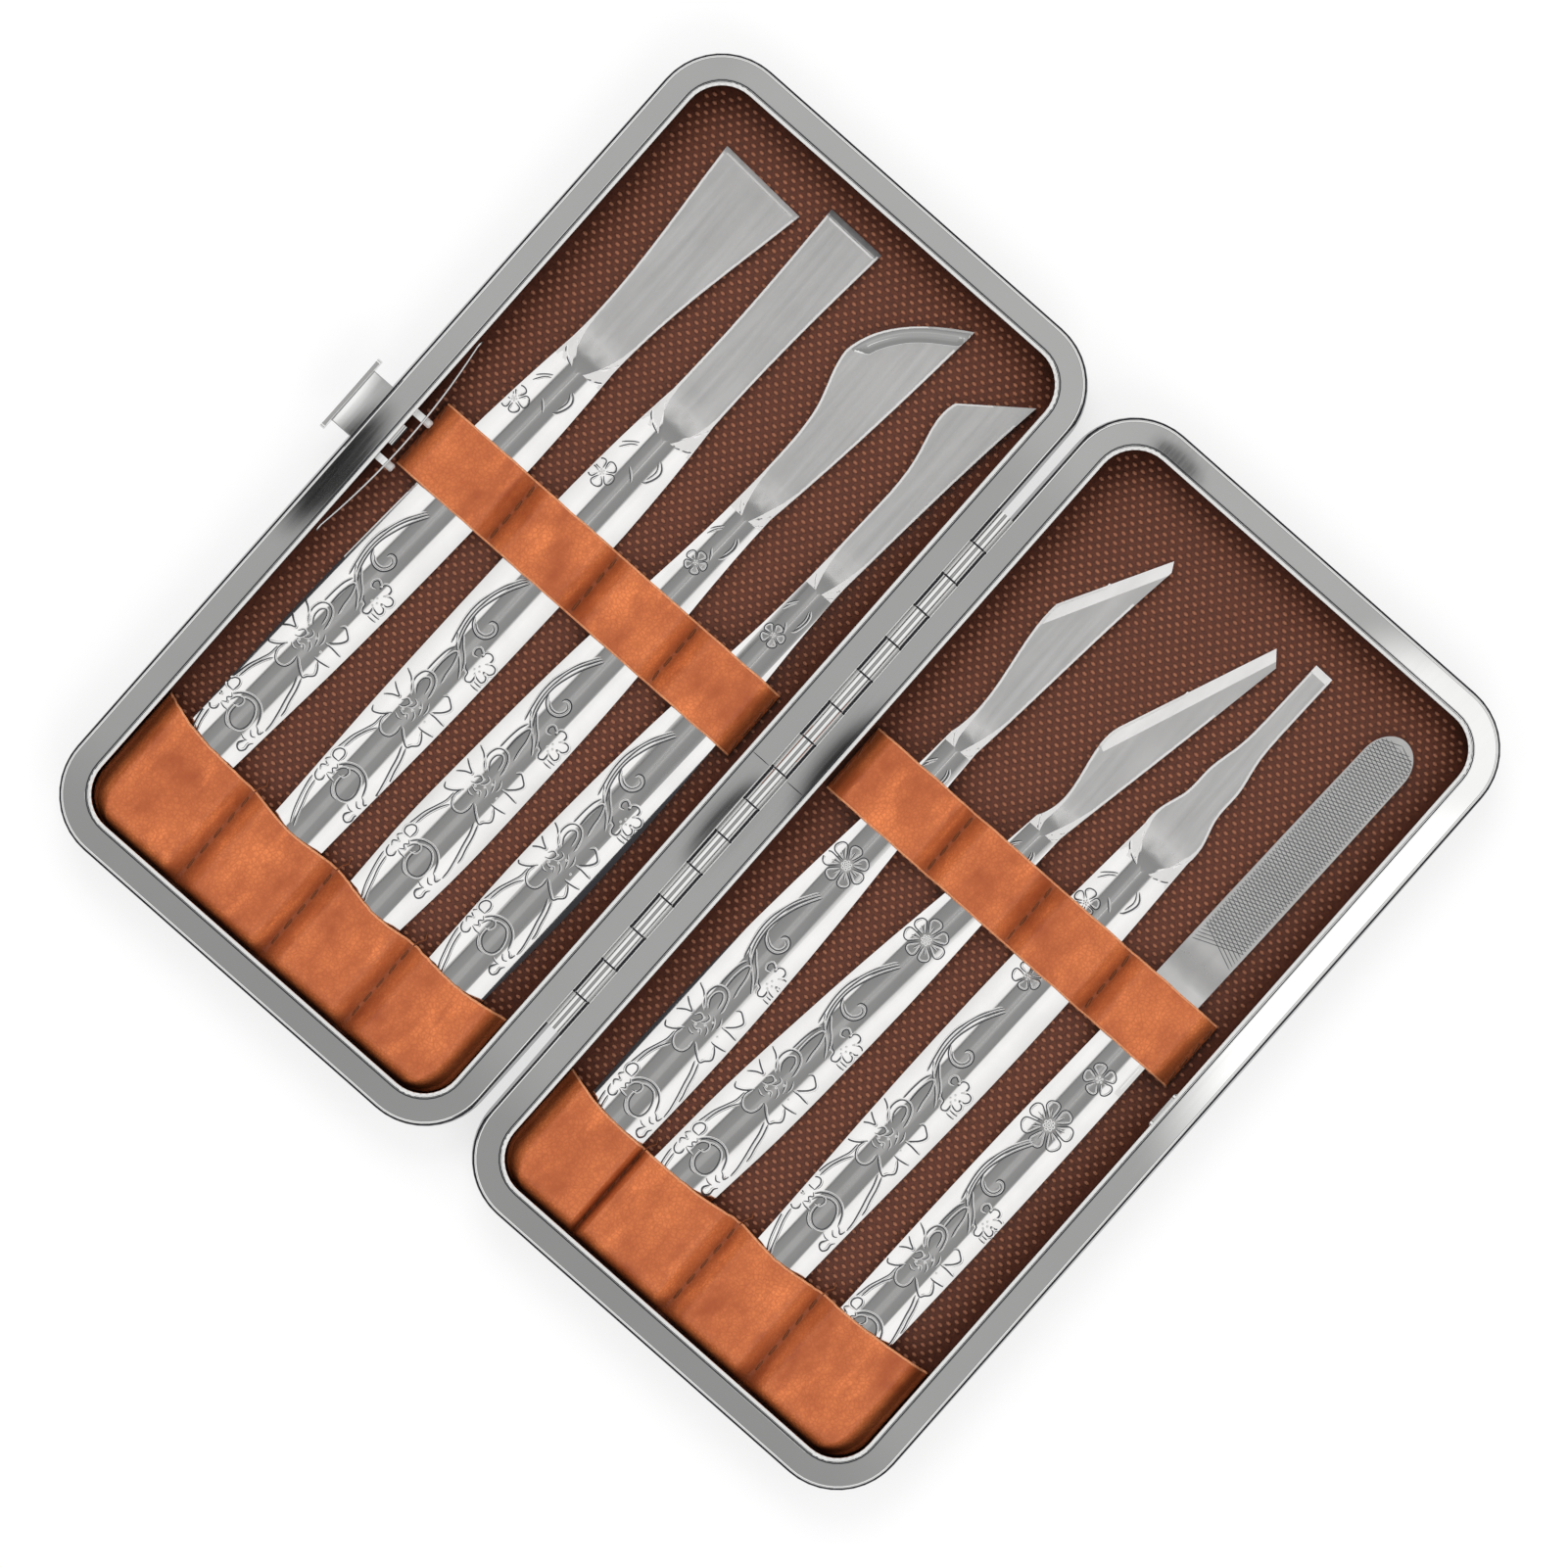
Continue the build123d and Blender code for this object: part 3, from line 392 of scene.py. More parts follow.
def tool_steel(name, base, blade_y):
    """Tool steel: satin ground blade beyond blade_y, mirror-bright handle before it."""
    made = Nodes(bpy.data.materials.new(name))
    blade = made.ramp(made.axis("Y"), 0.0, 1.0, (blade_y - 1.5) * MM, (blade_y + 4.5) * MM)
    cloud = made.noise(140.0, 4.0)
    grind = made.noise(900.0, 2.0, vector=made.stretched((1.0, 0.05, 1.0)))
    gloss = made.ramp(cloud, 0.05, 0.1, 0.3, 0.7)
    satin = made.ramp(grind, 0.34, 0.42, 0.3, 0.7)
    made.set(Metallic=1.0, Base_Color=made.ramp(cloud, base, [0.93 * c for c in base], 0.4, 0.75),
             Roughness=made.mix(blade, gloss, satin))
    return made.owner


def grained(name, base, dark, cell, depth, rough, valley_shade=None):
    """Leather: pebbled grain, fine pores, mottled colour that is darker in creases, and painted shade that
    darkens the low sewn valleys.
    """
    made = Nodes(bpy.data.materials.new(name))
    grain = made.cells(cell)
    pores = made.noise(cell * 1.7, 6.0, 0.65)
    mottle = made.noise(110.0, 6.0, 0.62)
    streak = made.noise(260.0, 4.0, 0.6, made.stretched((1.0, 0.35, 1.0)))
    crease = made.ramp(grain, 1.0, 0.0, 0.0, 0.22)
    clouds = made.math("ADD", made.math("MULTIPLY", mottle, 0.6), made.math("MULTIPLY", streak, 0.4))
    patch = made.ramp(clouds, 0.0, 1.0, 0.36, 0.62)
    tone = made.mix(patch, dark, base)
    light = [min(1.0, 1.32 * c) for c in base]
    tone = made.mix(made.ramp(streak, 0.0, 0.45, 0.56, 0.72), tone, light)
    tone = made.mix(made.math("MULTIPLY", crease, 0.45), tone, dark)
    tone = made.mix(made.ramp(pores, 0.3, 0.0, 0.36, 0.5), tone, dark)
    if valley_shade:
        # painted shade: the leather is darkened below a height, in its sewn valleys
        tone = made.mix(made.ramp(made.axis("Z"), 0.8, 0.0, *valley_shade), tone, [0.55 * c for c in dark])
    made.set(Base_Color=tone, Roughness=made.ramp(pores, rough, rough + 0.2, 0.3, 0.7),
             Specular_IOR_Level=0.42)
    height = made.math("ADD", made.math("MULTIPLY", made.ramp(grain, 0.0, 1.0, 0.0, 0.3), 0.6),
                       made.math("MULTIPLY", pores, 0.4))
    made.bump(height, depth, 0.7)
    return made.owner


def lining_finish(name, ground, dots, top):
    """Embossed sheet: dark weave ground, and lighter tops on the dots, found by height."""
    made = Nodes(bpy.data.materials.new(name))
    high = made.ramp(made.axis("Z"), 0.0, 1.0, top + 0.02 * MM, top + 0.13 * MM)
    weave = made.noise(2400.0, 3.0)
    mottle = made.noise(160.0, 4.0)
    tone = made.mix(made.ramp(mottle, 0.0, 0.5, 0.35, 0.7), dots, [0.72 * c for c in dots])
    woven = made.ramp(weave, 0.0, 1.0, 0.35, 0.65)
    base = made.mix(woven, [0.8 * c for c in ground], [1.2 * c for c in ground])
    made.set(Base_Color=made.mix(high, base, tone), Roughness=made.ramp(weave, 0.5, 0.68, 0.3, 0.7),
             Specular_IOR_Level=0.35)
    made.bump(weave, 0.02 * MM, 0.6)
    return made.owner


def fibrous(name, base, scale, rough):
    """Thread, foam or board: fibres of slightly different tone."""
    made = Nodes(bpy.data.materials.new(name))
    fibre = made.noise(scale, 5.0, 0.6, made.stretched((1.0, 0.3, 1.0)))
    light = [min(1.0, 1.2 * c) for c in base]
    made.set(Base_Color=made.ramp(fibre, [0.7 * c for c in base], light, 0.3, 0.7),
             Roughness=made.ramp(fibre, rough, min(1.0, rough + 0.2), 0.3, 0.7))
    made.bump(fibre, 0.03 * MM, 0.6)
    return made.owner


def finish(name):
    """One of the set's finishes, made once."""
    if name in FINISHES:
        return FINISHES[name]
    tints = colours()
    recipes = {
        "bright_nickel": lambda: plated(name, tints.nickel, 0.02, 0.05),
        # painted shade on the steep walls of frames and latch
        "frame_nickel_wall_shade": lambda: plated(name, tints.nickel, 0.01, 0.026, tints.shade),
        "satin_nickel": lambda: plated(name, tints.steel, 0.8, 0.9),
        # painted highlight: steel brighter than the tools' own, for the light a chamfer catches; the rougher
        # grind is real
        "ground_steel_highlight": lambda: plated(name, [min(1.0, 1.12 * c) for c in tints.steel], 0.6, 0.75),
        "spring_strip": lambda: plated(name, tints.steel, 0.12, 0.3),
        # painted shade of engraved cuts and grooves
        "engraved_line_shade": lambda: plated(name, tints.engraving_shade, 0.35, 0.5),
        "engraved_edge": lambda: plated(name, tints.steel, 0.12, 0.2),
        # real joint lines, and painted shade in the hinge gaps and along the outer walls
        "joint_and_painted_shade": lambda: plated(name, tints.shade, 0.5, 0.6),
        # painted shade in the sewn valleys, by height
        "tan_leather": lambda: grained(name, tints.tan, tints.tan_dark, 1500.0, 0.07 * MM, 0.4,
                                       (LINING_Z + 1.0 * MM, LINING_Z + 2.9 * MM)),
        "cut_leather": lambda: fibrous(name, tints.cut_edge, 3600.0, 0.7),
        "cover_leather": lambda: grained(name, tints.cover, [0.45 * c for c in tints.cover], 900.0,
                                         0.12 * MM, 0.4),
        "embossed_lining": lambda: lining_finish(name, tints.lining, tints.lining_dot, LINING_Z),
        "sewing_thread": lambda: fibrous(name, tints.thread, 5200.0, 0.65),
        "fibre_board": lambda: fibrous(name, tints.board, 1400.0, 0.75),
        "soft_foam": lambda: fibrous(name, tints.foam, 2600.0, 0.8),
    }
    FINISHES[name] = recipes[name]()
    return FINISHES[name]


def dress(node, look):
    """Give a CAD node one of the finishes."""
    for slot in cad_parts[node].material_slots:
        slot.material = finish(look)


# Mesh helpers

def piece(name, shape, body, look, smooth=True):
    """New mesh object that rides on a body: shape is a Heap, or vertices and faces."""
    verts, faces = (shape.verts, shape.faces) if isinstance(shape, Heap) else shape
    mesh = bpy.data.meshes.new(name)
    mesh.from_pydata([tuple(v) for v in verts], [], faces)
    mesh.validate()
    mesh.polygons.foreach_set("use_smooth", [smooth] * len(mesh.polygons))
    mesh.update()
    obj = bpy.data.objects.new(name, mesh)
    bpy.context.scene.collection.objects.link(obj)
    obj.data.materials.append(finish(look))
    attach(obj, body)
    return obj


def bands(rings, count):
    """Faces between neighbours in a row of closed rings of count vertices each."""
    pairs = [(k, (k + 1) % count) for k in range(count)]
    return [(low + k, low + n, low + count + n, low + count + k)
            for low in range(0, (rings - 1) * count, count) for k, n in pairs]


class Heap:
    """Vertices and faces of many small shapes, gathered into one mesh."""

    def __init__(self):
        self.verts = []
        self.faces = []

    def add(self, verts, faces):
        start = len(self.verts)
        self.verts.extend(verts)
        self.faces.extend(tuple(start + i for i in face) for face in faces)

    def tube(self, path, radius, around=6):
        """Round thread along a path, closed with small round ends."""
        points = [Vector(p) for p in path]
        rings = []
        for i, point in enumerate(points):
            ahead = (points[min(i + 1, len(points) - 1)] - points[max(i - 1, 0)]).normalized()
            across = ahead.cross(Vector((0, 0, 1)))
            across = across.normalized() if across.length > 1e-6 else Vector((1, 0, 0))
            up = across.cross(ahead)
            size = radius * (0.6 if i in (0, len(points) - 1) else 1.0)
            rings.append([point + size * (across * math.cos(a) + up * math.sin(a))
                          for a in (math.tau * k / around for k in range(around))])
        count = len(rings)
        verts = [v for ring in rings for v in ring] + [points[0], points[-1]]
        faces = bands(count, around)
        faces += [(count * around, (k + 1) % around, k) for k in range(around)]
        last = (count - 1) * around
        faces += [(count * around + 1, last + k, last + (k + 1) % around) for k in range(around)]
        self.add(verts, faces)

    def dome(self, x, y, z, wide, long, high, around=8):
        """Low dome standing on z, sunk a little into what carries it."""
        verts = []
        for scale, lift in ((1.0, -0.1), (0.8, 0.55), (0.4, 0.92)):
            verts += [(x + wide * scale * math.cos(a), y + long * scale * math.sin(a), z + high * lift)
                      for a in (math.tau * k / around for k in range(around))]
        verts.append((x, y, z + high))
        faces = bands(3, around)
        faces += [(2 * around + k, 2 * around + (k + 1) % around, 3 * around) for k in range(around)]
        faces.append(tuple(reversed(range(around))))
        self.add(verts, faces)


def smooth_path(points, step):
    """Catmull-Rom curve through 2-D points, about one point for each step."""
    ends = [points[0], *points, points[-1]]
    out = []
    for a, b, c, d in zip(ends, ends[1:], ends[2:], ends[3:]):
        count = max(1, round(math.dist(b, c) / step))
        for i in range(count):
            t = i / count
            out.append(tuple(0.5 * (2 * q + (r - p) * t + (2 * p - 5 * q + 4 * r - s) * t * t
                                    + (3 * q - p - 3 * r + s) * t ** 3) for p, q, r, s in zip(a, b, c, d)))
    out.append(tuple(points[-1]))
    return out


def rounded_ring(centre, half, corner, z, steps=8):
    """Points of a rounded rectangle at height z, counter-clockwise."""
    corner = max(corner, 0.2 * MM)
    points = []
    for k, (sx, sy) in enumerate(((1, 1), (-1, 1), (-1, -1), (1, -1))):
        for i in range(steps + 1):
            a = math.pi / 2 * (k + i / steps)
            points.append((centre[0] + sx * (half[0] - corner) + corner * math.cos(a),
                           centre[1] + sy * (half[1] - corner) + corner * math.sin(a), z))
    return points


def ringed(rings):
    """Closed solid over a list of rings, flat at both ends."""
    count = len(rings[0])
    verts = [v for ring in rings for v in ring]
    faces = bands(len(rings), count)
    faces.append(tuple(reversed(range(count))))
    faces.append(tuple(range((len(rings) - 1) * count, len(rings) * count)))
    return verts, faces


def node_box(name):
    """Middle and half sizes of a CAD node."""
    low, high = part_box(name)
    centre = [(a + b) / 2 for a, b in zip(low, high)]
    half = [(b - a) / 2 for a, b in zip(low, high)]
    return centre, half


def tray_x(side, distance):
    """X at a distance in millimetres from the hinge axis."""
    return HINGE_X + SIDES[side] * distance * MM


# Leather arches

def shoulder_at(seam):
    """Width of the leather's slope beside a seam: steep where two handles leave little room."""
    tight = any(abs(seam - tray_x("right", d)) < MM / 2 for d in TIGHT_SEAMS)
    return TIGHT_SHOULDER if tight else sizes().shoulder


def arch_stations(seams):
    """X stations across a row of arches, close together where the leather turns up."""
    stations = []
    for a, b in zip(seams, seams[1:]):
        low, high = a + ARCH_LAND[0], b - ARCH_LAND[0]
        rise, fall = shoulder_at(a), shoulder_at(b)
        stations += [low + rise * i / 9 for i in range(9)]
        stations += [low + rise + (high - fall - low - rise) * i / 14 for i in range(14)]
        stations += [high - fall + fall * i / 9 for i in range(10)]
    return stations


def arch_lift(x, seams, land):
    """Height of the arches at x above the flat between them."""
    made = sizes()
    for a, b in zip(seams, seams[1:]):
        low, high = a + land, b - land
        if low <= x <= high:
            share = 1.0
            for near, wide in ((x - low, shoulder_at(a)), (high - x, shoulder_at(b))):
                t = min(1.0, near / wide)
                share *= t * t * (3 - 2 * t) * 0.5 + 0.5 * math.sin(t * math.pi / 2)
            mid = 2 * (x - low) / (high - low) - 1
            return (made.arch_rise - made.crown) * share + made.crown * share * (1 - mid * mid)
    return 0.0


def wrinkled(x, y, seed, seams):
    """Height of the leather's wrinkles: soft folds along the seams, fine creases elsewhere."""
    near = min(abs(x - s) for s in seams)
    fold = math.exp(-((near - 3.2 * MM) / (1.5 * MM)) ** 2)
    broad = noise.noise(Vector((x * 170 + seed, y * 90, seed)))
    fine = noise.noise(Vector((x * 520, y * 420, seed + 7)))
    pull = noise.noise(Vector((x * 900 + seed, y * 130, seed + 3)))
    return sizes().wrinkle * (0.6 * broad + 0.25 * fine + 1.1 * fold * pull)


def leather_sheet(name, seams, rows, height, body, seed, bend=None):
    """Closed piece of leather over arches: rows gives Y from edge to edge at a given x.

    height(x, y, outer, inner) gives its upper and lower surface for the arch's lift on top and
    under the leather. bend moves X.
    """
    made = sizes()
    xs = [seams[0] - SHEET_END, *arch_stations(seams), seams[-1] + SHEET_END]
    top, under = [], []
    for x in xs:
        ys = rows(x)
        line_top, line_under = [], []
        for j, y in enumerate(ys):
            high, low = height(x, y, *(arch_lift(x, seams, land) for land in ARCH_LAND))
            high += wrinkled(x, y, seed, seams)
            edge = min(j, len(ys) - 1 - j)
            high -= (0.34, 0.1, 0.0)[min(edge, 2)] * made.leather
            here = bend(x, y) if bend else x
            line_top.append((here, y, high))
            line_under.append((here, y, min(low, high - 0.1 * made.leather)))
        top.append(line_top)
        under.append(line_under)
    deep = len(top[0])
    verts = [p for line in top for p in line] + [p for line in under for p in line]
    shift = len(top) * deep
    faces = []
    for i in range(len(top) - 1):
        for j in range(deep - 1):
            a, b = i * deep + j, (i + 1) * deep + j
            faces.append((a, b, b + 1, a + 1))
            faces.append((shift + a, shift + a + 1, shift + b + 1, shift + b))
    last = shift - deep
    near = [(a, a + deep) for a in range(0, last, deep)] + [(a, a + 1) for a in range(last, shift - 1)]
    far = [(a, a + deep) for a in range(deep - 1, shift - 1, deep)] + [(a, a + 1) for a in range(deep - 1)]
    faces += [(a, shift + a, shift + b, b) for a, b in near] + [(a, b, shift + b, shift + a) for a, b in far]
    obj = piece(name, (verts, faces), body, "tan_leather")
    obj.data.materials.append(finish("cut_leather"))
    for polygon in obj.data.polygons:
        spots = [v % deep for v in polygon.vertices]
        if min(polygon.vertices) < shift and (max(spots) <= 1 or min(spots) >= deep - 2):
            polygon.material_index = 1
    return obj


def seam_thread(heap, x, y_from, y_to, z, seed):
    """Row of single stitches down a seam, each dipping into its two holes."""
    made = sizes()
    rnd = random.Random(seed)
    count = max(2, round(abs(y_to - y_from) / made.stitch_pitch))
    for i in range(count):
        y = y_from + (y_to - y_from) * (i + 0.5) / count
        half = 0.37 * made.stitch_pitch
        skew = rnd.uniform(0.05, 0.22) * MM
        lift = z + rnd.uniform(-0.04, 0.05) * MM
        sink = 1.4 * made.thread_radius
        path = [(x - skew, y + half, lift - sink), (x - 0.8 * skew, y + 0.75 * half, lift),
                (x, y, lift + 0.4 * made.thread_radius), (x + 0.8 * skew, y - 0.75 * half, lift),
                (x + skew, y - half, lift - sink)]
        heap.tube(path, made.thread_radius)


def declare_sheet(side, kind, stitches, seams):
    """Make a leather sheet's stitches."""
    thread = piece(f"{side}_{kind}_stitches", stitches, f"{side}_half", "sewing_thread")
    points = [(x, arch_lift(x, seams, ARCH_LAND[0])) for x in arch_stations(seams)]


def make_pocket(side, seed):
    """Pocket leather: sewn flat along its seams, rounded down at the tray's end, open towards the tools."""
    made = sizes()
    seams = sorted(tray_x(side, d) for d in POCKET_SEAMS[side])
    edge = smooth_path(sorted((tray_x(side, d), y * MM) for d, y in POCKET_EDGE[side]), 0.5 * MM)
    left, right = seams[0] - SHEET_END, seams[-1] + SHEET_END
    inner_end = TRAY_END - 1.45 * MM

    def edge_y(x):
        for (xa, ya), (xb, yb) in zip(edge, edge[1:]):
            if xa <= x <= xb:
                uneven = 0.12 * MM * noise.noise(Vector((x * 900, seed, 0)))
                return ya + (yb - ya) * (x - xa) / (xb - xa) + uneven
        return edge[0][1] if x < edge[0][0] else edge[-1][1]

    def rows(x):
        start = edge_y(x)
        near = [start, start - 0.3 * MM, start - 0.6 * MM]
        far = [-TRAY_END + t * MM for t in (3.2, 2.4, 1.7, 1.3, 0.8, 0.4, 0.12, 0.0)]
        count = 26
        return near + [near[-1] + (far[0] - near[-1]) * i / count for i in range(1, count)] + far

    def height(x, y, outer, inner):
        depth = y + TRAY_END
        round_down = 3.0 * MM
        share = 1.0 if depth > round_down else math.sqrt(max(0.0, 1 - (1 - depth / round_down) ** 2))
        sag = 0.12 * outer * math.exp(-((y + 66 * MM) / (6 * MM)) ** 2)
        high = LINING_Z + 0.05 * MM + share * (made.leather + outer - sag)
        low = LINING_Z + 0.02 * MM + (inner if y > -inner_end else 0.0)
        return high, low

    def bend(x, y):
        depth = y + TRAY_END
        if depth >= TRAY_CORNER:
            return x
        off = TRAY_CORNER - math.sqrt(max(0.0, TRAY_CORNER ** 2 - (TRAY_CORNER - depth) ** 2))
        zone = 9 * MM
        for start, sign in ((left, 1), (right, -1)):
            along = sign * (x - start)
            if along < zone:
                return start + sign * (off + along * (zone - off) / zone)
        return x

    obj = leather_sheet(f"{side}_pocket_leather", seams, rows, height, f"{side}_half", seed, bend)
    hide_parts(f"{side}_pocket")
    heap = Heap()
    for k, x in enumerate(seams[1:-1]):
        seam_thread(heap, x, edge_y(x) - 0.8 * MM, -TRAY_END + 2.4 * MM, LINING_Z + made.leather, seed + k)
        loose = [(x + dx * MM, edge_y(x) + dy * MM, LINING_Z + dz) for dx, dy, dz in (
            (0.1, -0.3, made.leather + 0.1 * MM), (0.3, 0.7, 0.9 * MM), (0.9, 1.6, 0.45 * MM),
            (0.4, 2.6, 0.3 * MM))]
        heap.tube(loose, 0.6 * made.thread_radius)
    declare_sheet(side, "pocket", heap, seams)


def make_band(side, seed):
    """Band leather: open on both sides, with a row of stitches at every seam."""
    made = sizes()
    seams = sorted(tray_x(side, d) for d in BAND_SEAMS[side])
    middle = BAND_Y[side] * MM
    half = made.band_width / 2

    def rows(x):
        wave = 0.1 * MM * noise.noise(Vector((x * 260, seed, 2)))
        ends = [half, half - 0.3 * MM, half - 0.6 * MM]
        inside = [ends[-1] * (1 - 2 * i / 18) for i in range(1, 18)]
        return [middle + wave + y for y in ends + inside + [-e for e in reversed(ends)]]

    def height(x, y, outer, inner):
        return LINING_Z + made.leather + outer, LINING_Z + 0.02 * MM + inner

    obj = leather_sheet(f"{side}_band_leather", seams, rows, height, f"{side}_half", seed)
    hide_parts(f"{side}_band")
    heap = Heap()
    top = LINING_Z + made.leather
    for k, x in enumerate(seams):
        seam_thread(heap, x, middle + half - 0.5 * MM, middle - half + 0.5 * MM, top, seed + k)
    declare_sheet(side, "band", heap, seams)


# Case

def make_cover(side):
    """Leather outside: turned in over the foam at the rim, rounded down to a flat back."""
    centre, half = node_box(f"{side}_cover")
    top = half[2] * 2
    thick, turn = 1.0 * MM, 2.3 * MM
    profile = [(thick, thick * 1.5), (thick, top), (0.5 * thick, top), (0.0, top - 0.3 * MM), (0.0, 4.2 * MM),
               (0.0, 3.2 * MM), (0.0, turn)]
    angles = [math.pi / 16 * i for i in range(1, 9)]
    profile += [(turn * (1 - math.cos(a)), turn * (1 - math.sin(a))) for a in angles]
    profile += [(inset * MM, 0.0) for inset in (4.0, 8.0, 16.0, 28.0)]
    rings = []
    for inset, height in profile:
        uneven = 0.05 * MM if 0.1 * MM < height < top - MM else 0.0
        ring = rounded_ring(centre, (half[0] - inset, half[1] - inset), COVER_CORNER - inset, height, 10)
        rings.append([(x, y, max(0.0, z + uneven * noise.noise(Vector((x * 300, y * 300, z * 300)))))
                      for x, y, z in ring])
    obj = piece(f"{side}_cover_leather", ringed(rings), f"{side}_half", "cover_leather")
    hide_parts(f"{side}_cover")


def inner_rings(node, profile):
    """Rings of a sheet that fills a half: profile gives the inset and height of each."""
    centre, half = node_box(node)
    return ringed([rounded_ring(centre, (half[0] - i, half[1] - i), LINING_CORNER - i, z)
                   for i, z in profile])


def make_foam(side):
    low, high = (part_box(f"{side}_padding")[i][2] for i in (0, 1))
    edge = 0.45 * MM
    shape = inner_rings(f"{side}_padding", (
        (0.8 * MM + edge, low), (0.8 * MM, low + 0.1 * MM), (0.1 * MM, low + 0.8 * MM), (0.0, high - edge),
        (0.15 * MM, high - 0.1 * MM), (edge, high)))
    obj = piece(f"{side}_foam", shape, f"{side}_half", "soft_foam")
    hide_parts(f"{side}_padding")


def make_lining(side):
    """Lining sheet with its embossed dots standing up, except where a pocket hides it."""
    made = sizes()
    centre = node_box(f"{side}_lining")[0]
    low, high = (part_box(f"{side}_lining")[i][2] for i in (0, 1))
    heap = Heap()
    heap.add(*inner_rings(f"{side}_lining", ((0.0, low), (0.0, high - 0.1 * MM), (0.1 * MM, high))))
    limit_x = node_box(f"{side}_frame")[1][0] - 6.0 * MM
    limit_y = TRAY_END - 0.2 * MM
    row = made.dot_pitch * 0.62
    count_y = int(2 * limit_y / row)
    for j in range(count_y):
        y = -limit_y + row * (j + 0.5)
        if y < LAST_DOTS:
            continue
        shift = made.dot_pitch / 2 if j % 2 else 0.0
        for i in range(-int(limit_x / made.dot_pitch) - 1, int(limit_x / made.dot_pitch) + 2):
            x = i * made.dot_pitch + shift
            over_x, over_y = abs(x) - (limit_x - TRAY_CORNER), abs(y) - (limit_y - TRAY_CORNER)
            if abs(x) > limit_x or (over_x > 0 and over_y > 0 and math.hypot(over_x, over_y) > TRAY_CORNER):
                continue
            heap.dome(centre[0] + x, y, high, made.dot_radius, 0.62 * made.dot_radius, made.dot_height, 6)
    obj = piece(f"{side}_lining_sheet", heap, f"{side}_half", "embossed_lining")
    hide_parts(f"{side}_lining")


def frame_rings(heap, side, profile, gap=0.0):
    """Faces that follow a frame's outline: profile gives the inset and height of each ring.

    They stay gap away from the hinge axis. Insets that grow face up.
    """
    centre = node_box(f"{side}_lining")[0]
    sign = SIDES[side]
    limit = HINGE_X + sign * gap
    verts = []
    for inset, z in profile:
        verts += rounded_ring(centre, [h - inset for h in FRAME_HALF], FRAME_CORNER - inset, z, 10)
    if gap:
        verts = [(max(x, limit) if sign > 0 else min(x, limit), y, z) for x, y, z in verts]
    heap.add(verts, bands(len(profile), len(verts) // len(profile)))


def bead_groove_shade(heap, side):
    """Painted shade: dark line at the bottom of the groove between a frame's flat top and its bead."""
    middle, half = RIM_WIDTH - BEAD_LINE, sizes().bead_groove_shade / 2
    z = RIM_Z - GROOVE_DEPTH + 0.03 * MM
    frame_rings(heap, side, ((middle - half, z), (middle + half, z)))


def bead_light(heap, side):
    """Low roof along the top of a frame's bead, which catches the bright walls of the tent."""
    frame_rings(heap, side, [(RIM_WIDTH + inset * MM, RIM_Z + lift * MM)
                             for inset, lift in ((-0.63, -0.1), (-0.34, 0.04), (-0.05, -0.1))])


def edge_painted_shade(heap, side):
    """Painted shade: dark line on the outer wall, just below the flat top, in place of the dark outline that
    the wall shows beside the shadowed floor.
    """
    frame_rings(heap, side, [(inset * MM, RIM_Z + lift * MM) for inset, lift in (
        (-0.05, -1.2), (-0.34, -1.15), (-0.32, -1.05), (0.0, -1.0))], 1.2 * MM)


def latch_lines(heap):
    """Grey top of the latch's lip, and the fine outline of its thumb tab."""
    low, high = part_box("latch_slider")
    tab_z = RIM_Z - 2.03 * MM
    for x0, x1, y0, y1, z in ((0.05, 0.65, -6.3, 6.3, high[2] + 0.01 * MM),
                              (0.8, 4.6, -4.97, -4.83, tab_z), (0.8, 4.6, 4.83, 4.97, tab_z)):
        corners = ((x0, y0), (x1, y0), (x1, y1), (x0, y1))
        heap.add([(low[0] + x * MM, y * MM, z) for x, y in corners], [(0, 1, 2, 3)])


def make_latch_spring():
    """Bowed leaf with its two slots, built bowed only; the real leaf flattens against the wall when the latch
    is pulled.
    """
    low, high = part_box("latch_spring")
    half = (high[1] - low[1]) / 2
    thick = 0.3 * MM
    bow = high[0] - low[0] - thick
    slots = ((-5.1, -3.7), (3.7, 5.1))
    steps = 36
    ys = sorted([*slots[0], *slots[1], *(half / MM * (2 * k / steps - 1) for k in range(steps + 1))])
    zs = [low[2], low[2] + 0.7 * MM, high[2] - 0.7 * MM, high[2]]
    cells = {(i, k) for i in range(len(ys) - 1) for k in range(3)
             if k != 1 or not any(a - 0.01 <= ys[i] and ys[i + 1] <= b + 0.01 for a, b in slots)}
    verts = []
    for side in (0, 1):
        for y in ys:
            lift = bow * (1 - (y * MM / half) ** 2)
            curl = 0.25 * MM * max(0.0, (abs(y * MM) / half - 0.94) / 0.06) ** 2
            verts += [(low[0] + lift + curl + side * thick, y * MM, z) for z in zs]
    deep = len(zs)
    shift = len(ys) * deep
    faces = []
    for i, k in sorted(cells):
        a, b, c, d = i * deep + k, (i + 1) * deep + k, (i + 1) * deep + k + 1, i * deep + k + 1
        faces += [(a, d, c, b), (shift + a, shift + b, shift + c, shift + d)]
        for u, v, beside in ((a, b, (i, k - 1)), (b, c, (i + 1, k)), (c, d, (i, k + 1)), (d, a, (i - 1, k))):
            if beside not in cells:
                faces.append((u, v, shift + v, shift + u))
    obj = piece("latch_leaf", (verts, faces), "left_half", "spring_strip")
    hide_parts("latch_spring")
    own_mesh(obj)


